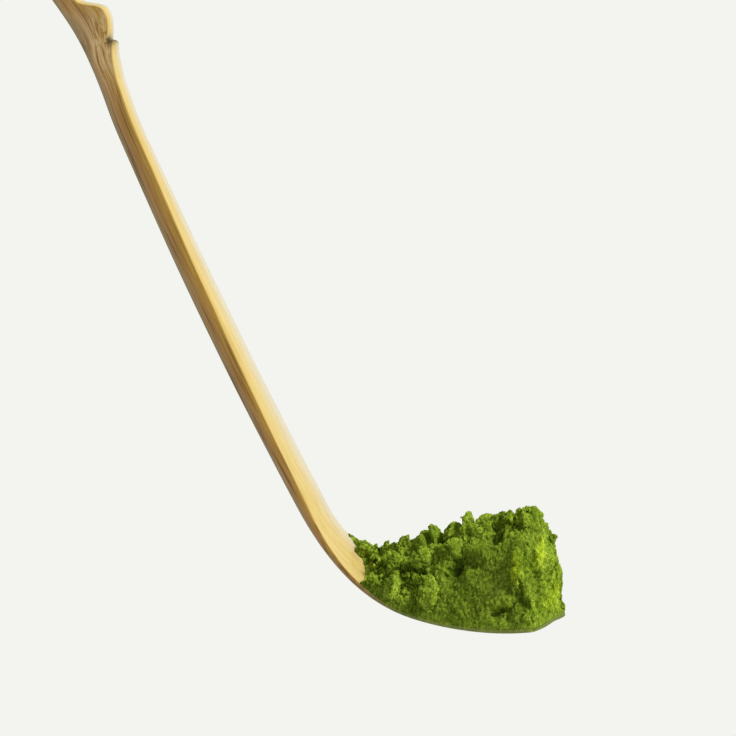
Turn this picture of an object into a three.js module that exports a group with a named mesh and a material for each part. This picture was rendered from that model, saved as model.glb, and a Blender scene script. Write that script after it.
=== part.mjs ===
// A bamboo tea scoop with its load of powdered tea, held as it is carried to the bowl.
// Millimetres, +Z up. X runs from the handle towards the lip, Y runs across the strip, and the
// origin is on the flat face of the handle, where the thumb rests.
import * as THREE from "three";

// Lengths along the back of the strip, from the lip to the cut end.
const BOWL_LENGTH = 15.6;
const BEND_LENGTH = 20.2;
const SHANK_LENGTH = 49;
const NECK_LENGTH = 5.6;
const NODE_LENGTH = 11.9;
const HANDLE_LENGTH = 79.5;

// Slope of the back, in degrees above the horizontal, at the lip and where each length ends.
const LIP_SLOPE = -10.8;
const BOWL_SLOPE = 11.9;
const BEND_SLOPE = 58.4;
const SHANK_SLOPE = 64;
const NECK_SLOPE = 69.1;
const HANDLE_SLOPE = 53.5;

// Widths of the strip.
const LIP_WIDTH = 11.2;
const SHANK_WIDTH = 5.3;
const NECK_WIDTH = 2.3;
const END_WIDTH = 4.6;

// Wall of the strip, measured at its edges.
const LIP_WALL = 0.45;
const SHANK_WALL = 1.36;
const NECK_WALL = 2.45;
const HANDLE_WALL = 2.6;

// Round corners of the lip, bevels of the edges, and the curves that the culm gave the strip.
const LIP_CORNER = 0.5;
const EDGE_BEVEL = 0.12;
const BEVEL_LIMIT = 0.3;
const BACK_RADIUS = 45;
const TROUGH_RADIUS = 48;

// The node: a swelling of the face above the neck, where the strip is a little narrower, and the
// rest of the culm's inner wall: a ledge that breaks off at a groove.
const NODE_CREST = 9.7;
const NODE_RISE = 2.4;
const NODE_BELOW = 5.3;
const NODE_ABOVE = 2.8;
const NODE_PINCH = 0.7;
const PINCH_REACH = 8.5;
const SEPTUM_DROP = 3.25;
const SEPTUM_WIDTH = 0.7;
const SEPTUM_DEPTH = 0.3;
const LEDGE_RISE = 0.85;
const LEDGE_REACH = 5.1;

// Where the thumb rests, measured back from the cut end.
const GRIP_FROM_END = 36;

// The powder: a mound that fills the bowl and climbs the bend, steep at the lip.
const SEAT_GAP = 0.3;
const HEAP_REACH = 26.8;
const HEAP_HEIGHT = 12.6;
const HEAP_TAIL = 0.5;
const HEAP_PEAK = 3.1;
const HEAP_END_FALL = 4.4;
const HEAP_INSET = 0.1;
const HEAP_RIM = 0.35;
const HEAP_SKEW = 3.2;
const HEAP_CURVE = 1.75;
const HEAP_RECESS = 1.5;
const HEAP_HOLLOW = 1.2;
const HEAP_ROUNDNESS = 2.3;

// Clods that stand on the mound. "along" runs from the tail, 0, to the lip, 1, and "across" from
// the near edge, 0, to the far edge, 1. The other values are sizes.
const CLODS = [
  { name: "clod_tail", along: 0.075, across: 0.64, length: 2.4, breadth: 1.8, height: 0.45 },
  { name: "clod_foot", along: 0.094, across: 0.127, length: 1.4, breadth: 1.5, height: 0.7 },
  { name: "clod_heel", along: 0.223, across: 0.38, length: 1.7, breadth: 1.8, height: 0.9 },
  { name: "clod_flank", along: 0.243, across: 0.106, length: 1.5, breadth: 2.6, height: 0.9 },
  { name: "clod_slope", along: 0.285, across: 0.54, length: 2, breadth: 2.2, height: 0.9 },
  { name: "clod_front", along: 0.44, across: 0.075, length: 2.1, breadth: 3, height: 0.4 },
  { name: "clod_knob", along: 0.37, across: 0.52, length: 1.8, breadth: 2, height: 0.95 },
  { name: "clod_middle", along: 0.405, across: 0.265, length: 2.1, breadth: 2, height: 1.2 },
  { name: "clod_wedge", along: 0.44, across: 0.54, length: 1.5, breadth: 2.2, height: 1.25 },
  { name: "clod_ledge", along: 0.525, across: 0.5, length: 2, breadth: 1.8, height: 0.65 },
  { name: "clod_saddle", along: 0.553, across: 0.29, length: 2.2, breadth: 2.2, height: 0.8 },
  { name: "clod_column", along: 0.605, across: 0.5, length: 1.2, breadth: 1.6, height: 1.7 },
  { name: "clod_step", along: 0.668, across: 0.5, length: 1.7, breadth: 1.8, height: 0.3 },
  { name: "clod_dome", along: 0.765, across: 0.52, length: 2.8, breadth: 1.8, height: 0.3 },
  { name: "clod_crown", along: 0.928, across: 0.5, length: 3.3, breadth: 3, height: 1 },
  { name: "clod_shoulder", along: 0.97, across: 0.625, length: 0.9, breadth: 1.3, height: 0.3 },
];

// How finely the surfaces are stepped.
const CORNER_STEPS = 4;
const BOWL_STEPS = 6;
const BEND_STEPS = 18;
const SHANK_STEPS = 10;
const NECK_STEPS = 4;
const NODE_STEPS = 8;
const HANDLE_STEPS = 3;
const SWELL_STEPS = 16;
const SEPTUM_STEPS = 2;
const STATION_GAP = 0.1;
const FACE_POINTS = 7;
const HEAP_STEPS = 30;
const HEAP_ACROSS = 15;
const CLOD_RINGS = 4;
const CLOD_SPOKES = 14;
const CLOD_UNDERSIDE = 0.5;
const PROBE = 1e-3;

const { clamp, degToRad, lerp, smoothstep } = THREE.MathUtils;

// The back of the strip as a chain of arcs in the XZ plane, starting at the lip.
class StripPath {
  constructor(startSlope) {
    this.arcs = [];
    this.length = 0;
    this.slope = degToRad(startSlope);
  }

  // Add an arc that ends at the given slope.
  bend(length, endSlope) {
    const turn = degToRad(endSlope) - this.slope;
    const foot = this.pointAt(this.length);
    this.arcs.push({ start: this.length, length, slope: this.slope, turn, foot });
    this.length += length;
    this.slope += turn;
    return this;
  }

  arcAt(distance) {
    const found = this.arcs.findLast((arc) => distance >= arc.start);
    return found ?? this.arcs[0];
  }

  slopeAt(distance) {
    const arc = this.arcAt(distance);
    return arc.slope + (arc.turn * (distance - arc.start)) / arc.length;
  }

  // The chord of an arc points along its middle slope.
  pointAt(distance) {
    if (this.arcs.length === 0) return new THREE.Vector3();
    const arc = this.arcAt(distance);
    const run = distance - arc.start;
    const half = (arc.turn * run) / arc.length / 2;
    const chord = half === 0 ? run : (run * Math.sin(half)) / half;
    const slope = arc.slope + half;
    const step = new THREE.Vector3(-Math.cos(slope), 0, Math.sin(slope));
    return step.multiplyScalar(chord).add(arc.foot);
  }

  // The direction from the back to the face.
  normalAt(distance) {
    const slope = this.slopeAt(distance);
    return new THREE.Vector3(Math.sin(slope), 0, Math.cos(slope));
  }
}

const path = new StripPath(LIP_SLOPE)
  .bend(BOWL_LENGTH, BOWL_SLOPE)
  .bend(BEND_LENGTH, BEND_SLOPE)
  .bend(SHANK_LENGTH, SHANK_SLOPE)
  .bend(NECK_LENGTH, NECK_SLOPE)
  .bend(NODE_LENGTH, HANDLE_SLOPE)
  .bend(HANDLE_LENGTH, HANDLE_SLOPE);

const BEND_START = BOWL_LENGTH;
const SHANK_START = BEND_START + BEND_LENGTH;
const NECK_START = SHANK_START + SHANK_LENGTH;
const NODE_START = NECK_START + NECK_LENGTH;
const HANDLE_START = NODE_START + NODE_LENGTH;
const CREST_PLACE = NODE_START + NODE_CREST;
const SEPTUM_PLACE = CREST_PLACE - SEPTUM_DROP;

// How far a place lies along one length of the strip, from 0 to 1.
function share(distance, start, length) {
  return clamp((distance - start) / length, 0, 1);
}

// Half the width of the strip before its lip is rounded.
function bladeHalfWidth(distance) {
  if (distance < SHANK_START) {
    const narrowing = smoothstep(distance, BEND_START, SHANK_START);
    return lerp(LIP_WIDTH, SHANK_WIDTH, narrowing) / 2;
  }
  if (distance < NECK_START) {
    return lerp(SHANK_WIDTH, NECK_WIDTH, share(distance, SHANK_START, SHANK_LENGTH)) / 2;
  }
  const handle = lerp(NECK_WIDTH, END_WIDTH, smoothstep(distance, NODE_START, path.length));
  return (handle - NODE_PINCH * hump((distance - CREST_PLACE) / PINCH_REACH)) / 2;
}

// Half the width of the strip, with the round corners of the lip.
function halfWidth(distance) {
  const lack = LIP_CORNER - clamp(distance, 0, LIP_CORNER);
  const cut = LIP_CORNER - Math.sqrt(LIP_CORNER ** 2 - lack ** 2);
  return bladeHalfWidth(distance) - cut;
}

// A hump with round foot and crest: 1 at the middle, 0 at a distance of one or more.
function hump(offset) {
  return Math.abs(offset) < 1 ? (1 + Math.cos(Math.PI * offset)) / 2 : 0;
}

// How much the face swells at the node, with the ledge and the groove that the inner wall left.
function swelling(distance) {
  const offset = distance - CREST_PLACE;
  const reach = offset < 0 ? NODE_BELOW : NODE_ABOVE;
  const drop = SEPTUM_PLACE - distance;
  const ledge = drop < 0 ? 0 : LEDGE_RISE * hump(drop / LEDGE_REACH);
  const groove = Math.max(0, 1 - Math.abs(drop) / (SEPTUM_WIDTH / 2));
  return NODE_RISE * hump(offset / reach) + ledge - SEPTUM_DEPTH * groove;
}

// Wall of the strip at its edges: thin in the bowl, growing through the bend and the shank.
function wall(distance) {
  if (distance < SHANK_START) {
    return lerp(LIP_WALL, SHANK_WALL, share(distance, BEND_START, BEND_LENGTH) ** 2);
  }
  if (distance < NECK_START) {
    const growth = Math.sin((share(distance, SHANK_START, SHANK_LENGTH) * Math.PI) / 2);
    return lerp(SHANK_WALL, NECK_WALL, growth);
  }
  const carved = lerp(NECK_WALL, HANDLE_WALL, smoothstep(distance, NECK_START, CREST_PLACE));
  return carved + swelling(distance);
}

// Height of the face above the path: a trough in the bowl that flattens out through the bend.
function faceHeight(distance, side) {
  const flattening = smoothstep(distance, BEND_START, SHANK_START);
  const depth = (bladeHalfWidth(distance) ** 2 - side ** 2) / (2 * TROUGH_RADIUS);
  return wall(distance) - depth * (1 - flattening);
}

// Height of the back, which bulges below the path as the skin of the culm does.
function backHeight(distance, side) {
  return (side ** 2 - bladeHalfWidth(distance) ** 2) / (2 * BACK_RADIUS);
}

// A point of the strip, from its distance along the path, its side offset and its height.
function place(distance, side, height) {
  const point = path.normalAt(distance).multiplyScalar(height);
  point.y = side;
  return point.add(path.pointAt(distance));
}

// Evenly spaced values with both ends.
function steps(from, to, count) {
  return Array.from({ length: count + 1 }, (_, i) => lerp(from, to, i / count));
}

function makeGeometry(points, triangles) {
  const geometry = new THREE.BufferGeometry();
  geometry.setFromPoints(points);
  geometry.setIndex(triangles);
  geometry.computeVertexNormals();
  return geometry;
}

// A closed skin over sections that each hold an upper and a lower row of points, near to far.
function loft(sections) {
  const rings = sections.map(({ upper, lower }) => [...upper, ...lower.toReversed()]);
  const ringSize = rings[0].length;
  const rowSize = ringSize / 2;
  const last = (rings.length - 1) * ringSize;
  const triangles = [];
  for (let i = 0; i < rings.length - 1; i += 1) {
    for (let j = 0; j < ringSize; j += 1) {
      const a = i * ringSize + j;
      const b = i * ringSize + ((j + 1) % ringSize);
      triangles.push(a, b, a + ringSize, b, b + ringSize, a + ringSize);
    }
  }
  for (let j = 0; j < rowSize - 1; j += 1) {
    const under = ringSize - 1 - j;
    triangles.push(j, under, j + 1, j + 1, under, under - 1);
    triangles.push(last + j, last + j + 1, last + under);
    triangles.push(last + j + 1, last + under - 1, last + under);
  }
  return makeGeometry(rings.flat(), triangles);
}

// Places along the strip where its section is drawn, closer where its shape changes.
function stripStations() {
  const corner = steps(0, Math.PI / 2, CORNER_STEPS).map((turn) => LIP_CORNER * (1 - Math.cos(turn)));
  const stations = [
    ...corner,
    ...steps(LIP_CORNER, BEND_START, BOWL_STEPS),
    ...steps(BEND_START, SHANK_START, BEND_STEPS),
    ...steps(SHANK_START, NECK_START, SHANK_STEPS),
    ...steps(NECK_START, NODE_START, NECK_STEPS),
    ...steps(NODE_START, HANDLE_START, NODE_STEPS),
    ...steps(CREST_PLACE - NODE_BELOW, CREST_PLACE + NODE_ABOVE, SWELL_STEPS),
    ...steps(HANDLE_START, path.length, HANDLE_STEPS),
  ].filter((distance) => Math.abs(distance - SEPTUM_PLACE) > SEPTUM_WIDTH / 2 + STATION_GAP);
  const reach = SEPTUM_WIDTH / 2;
  stations.push(...steps(SEPTUM_PLACE - reach, SEPTUM_PLACE + reach, SEPTUM_STEPS));
  stations.sort((a, b) => a - b);
  return stations.filter((distance, i) => i === 0 || distance - stations[i - 1] > STATION_GAP);
}

// One section of the strip: flat or troughed face, bevelled edges, bulging back.
function stripSection(distance) {
  const half = halfWidth(distance);
  const bevel = Math.min(EDGE_BEVEL, wall(distance) * BEVEL_LIMIT);
  const sides = steps(bevel - half, half - bevel, FACE_POINTS - 1);
  const faceEdge = faceHeight(distance, half) - bevel;
  const backEdge = backHeight(distance, half) + bevel;
  const row = (heightAt, edge) => [
    place(distance, -half, edge),
    ...sides.map((side) => place(distance, side, heightAt(distance, side))),
    place(distance, half, edge),
  ];
  return { upper: row(faceHeight, faceEdge), lower: row(backHeight, backEdge) };
}

// Place along the strip of a point of the mound, whose tail climbs higher on the far side and draws
// back in the middle.
function heapDistance(along, side) {
  const slant = HEAP_SKEW * side * (1 - along) ** 2;
  const bow = (HEAP_CURVE * side ** 2 - HEAP_RECESS) * (1 - along) ** 4;
  return lerp(HEAP_REACH, HEAP_INSET, along) + slant + bow;
}

// Height of the crest above the bowl: a long rise to the peak, then a short fall to the lip.
function crestHeight(along) {
  const peak = 1 - HEAP_PEAK / (HEAP_REACH - HEAP_INSET);
  const rise = Math.sin((Math.min(along / peak, 1) * Math.PI) / 2) ** HEAP_HOLLOW;
  const fall = Math.max(0, (along - peak) / (1 - peak)) ** 2;
  return lerp(HEAP_TAIL, HEAP_HEIGHT, rise) - HEAP_END_FALL * fall;
}

// A point of the mound over the bowl. Across runs from 0 to 1, and the profile is a superellipse.
function heapPoint(along, across, isTop) {
  const side = -Math.cos(across * Math.PI);
  const distance = heapDistance(along, side);
  const offset = side * (halfWidth(distance) - HEAP_INSET);
  const point = place(distance, offset, faceHeight(distance, offset) + SEAT_GAP);
  if (isTop) {
    const profile = (1 - Math.abs(side) ** HEAP_ROUNDNESS) ** (1 / HEAP_ROUNDNESS);
    point.z += HEAP_RIM + crestHeight(along) * profile;
  }
  return point;
}

function heapSection(along) {
  const row = (isTop) => steps(0, 1, HEAP_ACROSS - 1).map((across) => heapPoint(along, across, isTop));
  return { upper: row(true), lower: row(false) };
}

// Stations of the mound, closer towards the steep end at the lip.
function heapStations() {
  return steps(0, Math.PI / 2, HEAP_STEPS).map((turn) => Math.sin(turn));
}

// The surface of the mound around one place: its point, its outward normal and its two scales.
function heapFrame(along, across) {
  const point = heapPoint(along, across, true);
  const alongStep = heapPoint(along + PROBE, across, true).sub(point).divideScalar(PROBE);
  const acrossStep = heapPoint(along, across + PROBE, true).sub(point).divideScalar(PROBE);
  const normal = alongStep.clone().cross(acrossStep).normalize();
  return { point, normal, alongScale: alongStep.length(), acrossScale: acrossStep.length() };
}

// A clod: a dome on the mound, with an underside that keeps the seat gap to it.
function clodGeometry({ along, across, length, breadth, height }) {
  const { alongScale, acrossScale } = heapFrame(along, across);
  const lifted = (radius, turn, lift) => {
    const placeAlong = along + (radius * Math.cos(turn) * length) / 2 / alongScale;
    const placeAcross = across + (radius * Math.sin(turn) * breadth) / 2 / acrossScale;
    const { point, normal } = heapFrame(placeAlong, placeAcross);
    return point.addScaledVector(normal, SEAT_GAP + lift);
  };
  const turns = steps(0, 2 * Math.PI, CLOD_SPOKES).slice(0, -1);
  const ring = (radius, lift) => turns.map((turn) => lifted(radius, turn, lift));
  const climbs = steps(0, Math.PI / 2, CLOD_RINGS).slice(0, -1);
  const domeRings = climbs.map((climb) => ring(Math.cos(climb), height * Math.sin(climb)));
  const rings = [ring(CLOD_UNDERSIDE, 0), ...domeRings];
  const points = [...rings.flat(), lifted(0, 0, 0), lifted(0, 0, height)];
  const bottom = points.length - 2;
  const top = points.length - 1;
  const topRing = (rings.length - 1) * CLOD_SPOKES;
  const triangles = [];
  for (let j = 0; j < CLOD_SPOKES; j += 1) {
    const next = (j + 1) % CLOD_SPOKES;
    triangles.push(bottom, next, j, top, topRing + j, topRing + next);
    for (let base = 0; base < topRing; base += CLOD_SPOKES) {
      const upper = base + CLOD_SPOKES;
      triangles.push(base + j, base + next, upper + j, base + next, upper + next, upper + j);
    }
  }
  return makeGeometry(points, triangles);
}

function bambooMaterial() {
  return new THREE.MeshStandardMaterial({ color: 0xe6cf8c, roughness: 0.55, metalness: 0 });
}

function powderMaterial() {
  return new THREE.MeshStandardMaterial({ color: 0x76902b, roughness: 1, metalness: 0 });
}

function namedMesh(name, geometry, material) {
  const mesh = new THREE.Mesh(geometry, material);
  mesh.name = name;
  return mesh;
}

const strip = loft(stripStations().map(stripSection));
const heap = loft(heapStations().map(heapSection).toReversed());

const gripPlace = path.length - GRIP_FROM_END;
const grip = place(gripPlace, 0, faceHeight(gripPlace, 0));

const scoop = new THREE.Group();
scoop.position.copy(grip).negate();
scoop.add(namedMesh("bamboo_scoop", strip, bambooMaterial()));
scoop.add(namedMesh("matcha_heap", heap, powderMaterial()));
for (const clod of CLODS) {
  scoop.add(namedMesh(clod.name, clodGeometry(clod), powderMaterial()));
}

const part = new THREE.Group();
part.add(scoop);

export default part;
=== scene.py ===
"""Looks of a bamboo tea scoop with its load of powdered tea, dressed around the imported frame."""

import logging
import math
from dataclasses import dataclass, field
from enum import Enum
from typing import Any

import bpy
import numpy as np
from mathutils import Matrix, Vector


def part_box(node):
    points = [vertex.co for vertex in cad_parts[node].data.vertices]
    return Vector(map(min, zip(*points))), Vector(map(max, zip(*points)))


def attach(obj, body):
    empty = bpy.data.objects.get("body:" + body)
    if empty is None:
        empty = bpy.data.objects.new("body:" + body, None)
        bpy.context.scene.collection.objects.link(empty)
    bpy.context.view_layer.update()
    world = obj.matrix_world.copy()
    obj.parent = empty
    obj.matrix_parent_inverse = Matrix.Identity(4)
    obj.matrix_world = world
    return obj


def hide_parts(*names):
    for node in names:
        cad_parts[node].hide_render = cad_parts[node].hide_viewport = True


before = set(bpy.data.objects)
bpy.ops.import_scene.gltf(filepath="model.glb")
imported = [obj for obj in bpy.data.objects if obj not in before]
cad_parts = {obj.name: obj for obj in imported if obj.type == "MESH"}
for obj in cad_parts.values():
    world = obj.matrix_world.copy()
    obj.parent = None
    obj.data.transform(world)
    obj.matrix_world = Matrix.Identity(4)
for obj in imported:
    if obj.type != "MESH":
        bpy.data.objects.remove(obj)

Array = np.ndarray
Triple = tuple[float, float, float]
Colour = Triple
Span = tuple[float, float]

LOG = logging.getLogger("tea_scoop")
MM = 0.001
WHITE: Colour = (1.0, 1.0, 1.0)
QUARTER = np.pi / 2.0
TINY = 1e-12
FAR = 9.0
WORD = 0xFFFFFFFF
HASH_AXES = (0x8DA6B343, 0xD8163841, 0xCB1AB31F)
HASH_SEED = 0x9E3779B1
HASH_CHANNEL = 0x7F4A7C15
HASH_ROUNDS = ((16, 0x85EBCA6B), (13, 0xC2B2AE35))
HASH_LAST = 16


# Whole-array helpers

def lerp(start: Array | float, end: Array | float, share: Array | float) -> Array | float:
    """Blend two values: start plus share times their difference."""
    return start + (end - start) * share


def smoothstep(value: Array | float, low: float, high: float) -> Array:
    """Ease from 0 at low to 1 at high: 3t squared less 2t cubed of the clamped share t."""
    t = np.clip((value - low) / (high - low), 0.0, 1.0)
    return t * t * (3.0 - 2.0 * t)


def bell(offset: Array | float, width: float) -> Array:
    """Bell curve: e to the minus square of offset over width."""
    return np.exp(-((np.asarray(offset) / width) ** 2))


def hump(offset: Array) -> Array:
    """Hump with a round foot and crest: half a cosine wave, 0 at a distance of one or more."""
    return (1.0 + np.cos(np.pi * np.clip(offset, -1.0, 1.0))) / 2.0


def unit(vectors: Array) -> Array:
    """Scale vectors to length one."""
    return vectors / np.maximum(np.linalg.norm(vectors, axis=-1, keepdims=True), TINY)


def even_along(points: Array, count: int) -> Array:
    """Find parameters that cut a curve into steps of equal length.

    Args:
        points: Points of the curve at evenly spaced parameters from 0 to 1.
        count: How many parameters to return.

    Returns:
        Parameters from 0 to 1, where the running length of the curve is evenly spaced.
    """
    steps = np.linalg.norm(np.diff(points, axis=0), axis=1)
    length = np.concatenate([[0.0], np.cumsum(steps)])
    parameters = np.linspace(0.0, 1.0, len(points))
    return np.interp(np.linspace(0.0, length[-1], count), length, parameters)


def lattice_random(cells: Array, channels: int, seed: int) -> Array:
    """Give each whole-number cell its own random values.

    The three coordinates are multiplied by large odd numbers, joined bit by bit and scrambled by
    shifts and multiplications, once per channel.

    Args:
        cells: Whole-number coordinates, shape (..., 3).
        channels: How many values each cell gets.
        seed: Changes all the values.

    Returns:
        Values from 0 to 1, shape (..., channels).
    """
    keys = cells.astype(np.int64).astype(np.uint32)
    mixed = np.uint32((seed * HASH_SEED) & WORD)
    for axis, factor in enumerate(HASH_AXES):
        mixed = mixed ^ (keys[..., axis] * np.uint32(factor))
    values = []
    for channel in range(channels):
        mixed = mixed + np.uint32(HASH_CHANNEL + channel)
        for shift, factor in HASH_ROUNDS:
            mixed = (mixed ^ (mixed >> np.uint32(shift))) * np.uint32(factor)
        mixed = mixed ^ (mixed >> np.uint32(HASH_LAST))
        values.append(mixed.astype(np.float64) / WORD)
    return np.stack(values, axis=-1)


def soft_noise(points: Array, size: float, seed: int, channels: int = 1) -> Array:
    """Smooth noise: random values at the corners of a lattice, eased between them.

    Args:
        points: Places in space, shape (..., 3).
        size: Edge of a lattice cell.
        seed: Changes the noise.
        channels: How many noises to make at once.

    Returns:
        Values from -1 to 1, shape (..., channels), or (...) for one channel.
    """
    places = points / size
    corner = np.floor(places)
    share = places - corner
    ease = share * share * (3.0 - 2.0 * share)
    total = np.zeros(points.shape[:-1] + (channels,))
    for step in np.ndindex(2, 2, 2):
        weight = np.prod(np.where(np.array(step) == 1, ease, 1.0 - ease), axis=-1)
        total += weight[..., None] * lattice_random(corner + np.array(step), channels, seed)
    noise = 2.0 * total - 1.0
    return noise[..., 0] if channels == 1 else noise


def layered_noise(points: Array, size: float, seed: int, layers: int) -> Array:
    """Sum of smooth noises, each half the size and half the strength of the one before."""
    scales = 0.5 ** np.arange(layers)
    return sum(s * soft_noise(points, size * s, seed + i) for i, s in enumerate(scales))


def cell_noise(points: Array, size: float, seed: int) -> tuple[Array, Array, Array, Array]:
    """Distances to the scattered seeds of a lattice, one seed in each cell.

    Args:
        points: Places in space, shape (..., 3).
        size: Edge of a lattice cell.
        seed: Changes the scatter.

    Returns:
        Distance to the nearest seed and to the second nearest, the vector from the nearest seed,
        all in cell edges, and three random values of the nearest seed's cell.
    """
    places = points / size
    home = np.floor(places)
    nearest = np.full(points.shape[:-1], FAR)
    second = nearest.copy()
    arm = np.zeros(points.shape)
    tokens = np.zeros(points.shape)
    for step in np.ndindex(3, 3, 3):
        cell = home + np.array(step) - 1.0
        values = lattice_random(cell, 3, seed)
        reach = places - cell - values
        distance = np.linalg.norm(reach, axis=-1)
        closer = distance < nearest
        second = np.where(closer, nearest, np.minimum(second, distance))
        nearest = np.where(closer, distance, nearest)
        arm = np.where(closer[..., None], reach, arm)
        tokens = np.where(closer[..., None], values, tokens)
    return nearest, second, arm, tokens


# Meshes

def grid_quads(rows: int, columns: int, closed: bool = False) -> Array:
    """Quads of a grid of points, turned so that row step cross column step points outwards.

    Args:
        rows: Number of rows.
        columns: Number of columns.
        closed: Whether the last column joins the first.

    Returns:
        Corner indices, shape (quads, 4).
    """
    row = np.arange(rows - 1)[:, None] * columns
    column = np.arange(columns if closed else columns - 1)[None, :]
    after = (column + 1) % columns
    corners = [row + column, row + columns + column, row + columns + after, row + after]
    return np.stack([np.broadcast_to(c, corners[1].shape) for c in corners], -1).reshape(-1, 4)


def make_piece(name: str, points: Array, faces: list[Array], attributes: dict[str, Array]) -> Any:
    """Make a smooth-shaded mesh object at the origin.

    Args:
        name: Name of the piece.
        points: Corners in millimetres, shape (corners, 3).
        faces: Blocks of faces, each of shape (faces, corners of a face).
        attributes: Values of each corner, one number or three, by attribute name.

    Returns:
        The new object, linked to the scene.
    """
    mesh = bpy.data.meshes.new(name)
    mesh.vertices.add(len(points))
    mesh.vertices.foreach_set("co", (points * MM).astype(np.float32).ravel())
    corners = np.concatenate([block.ravel() for block in faces])
    sizes = np.concatenate([np.full(len(block), block.shape[1]) for block in faces])
    starts = np.concatenate([[0], np.cumsum(sizes)[:-1]])
    mesh.loops.add(len(corners))
    mesh.loops.foreach_set("vertex_index", corners.astype(np.int32))
    mesh.polygons.add(len(sizes))
    mesh.polygons.foreach_set("loop_start", starts.astype(np.int32))
    mesh.update(calc_edges=True)
    mesh.shade_smooth()
    for key, values in attributes.items():
        kind, slot = ("FLOAT", "value") if values.ndim == 1 else ("FLOAT_VECTOR", "vector")
        made = mesh.attributes.new(key, kind, "POINT")
        made.data.foreach_set(slot, values.astype(np.float32).ravel())
    mesh.validate()
    piece = bpy.data.objects.new(name, mesh)
    bpy.context.scene.collection.objects.link(piece)
    return piece


class Body(Enum):
    """Bodies of the frame."""

    SCOOP = "scoop"
    POWDER = "powder"


class Slot(Enum):
    """Material slots of the record."""

    BAMBOO = "bamboo"
    MATCHA = "matcha"


def dress(piece: Any, finish: Any, body: Body, node: str | None = None) -> Any:
    """Give a piece its finish, tie it to the frame, and log its name and face count.

    Args:
        piece: Piece to dress.
        finish: Its material.
        body: Body that it rides on.
        node: Node of the frame that it stands for, where there is one.

    Returns:
        The same piece.
    """
    piece.data.materials.append(finish)
    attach(piece, body.value)
    if node is not None:
        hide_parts(node)
    LOG.info("%s: %d faces", piece.name, len(piece.data.polygons))
    return piece


# Shape of the strip

@dataclass
class StripPath:
    """The back of the strip as a chain of arcs in the XZ plane, starting at the lip.

    Attributes:
        lengths: Length of each arc, in millimetres.
        slopes: Slope at the lip and at the end of each arc, in degrees above the horizontal.
    """

    lengths: tuple[float, ...]
    slopes: tuple[float, ...]
    starts: Array = field(init=False)
    feet: Array = field(init=False)

    def __post_init__(self) -> None:
        """Chain the arcs: each one starts where the one before ends."""
        self.starts = np.concatenate([[0.0], np.cumsum(self.lengths)[:-1]])
        chords = self._chords(np.arange(len(self.lengths)), np.array(self.lengths))
        self.feet = np.concatenate([np.zeros((1, 2)), np.cumsum(chords, axis=0)[:-1]])

    @property
    def length(self) -> float:
        """Length of the whole chain."""
        return float(sum(self.lengths))

    def _chords(self, arcs: Array, runs: Array) -> Array:
        """Chord of each arc after a run: run times sin(h)/h at the middle slope, h half the turn.

        Args:
            arcs: Index of the arc of each chord.
            runs: Length of the arc up to the chord's end.

        Returns:
            Chords as X and Z, shape (chords, 2).
        """
        slopes = np.radians(self.slopes)
        half = (slopes[1:] - slopes[:-1])[arcs] * runs / np.array(self.lengths)[arcs] / 2.0
        chord = runs * np.sinc(half / np.pi)
        middle = slopes[:-1][arcs] + half
        return np.stack([-chord * np.cos(middle), chord * np.sin(middle)], axis=-1)

    def _arcs(self, distance: Array) -> Array:
        """Index of the arc that holds each distance."""
        found = np.searchsorted(self.starts, distance, side="right") - 1
        return np.clip(found, 0, len(self.lengths) - 1)

    def points(self, distance: Array) -> Array:
        """Points of the chain as X and Z."""
        arcs = self._arcs(distance)
        return self.feet[arcs] + self._chords(arcs, distance - self.starts[arcs])

    def slopes_at(self, distance: Array) -> Array:
        """Slope in radians: it changes evenly along each arc."""
        knots = np.concatenate([self.starts, [self.length]])
        return np.interp(distance, knots, np.radians(self.slopes))


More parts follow.
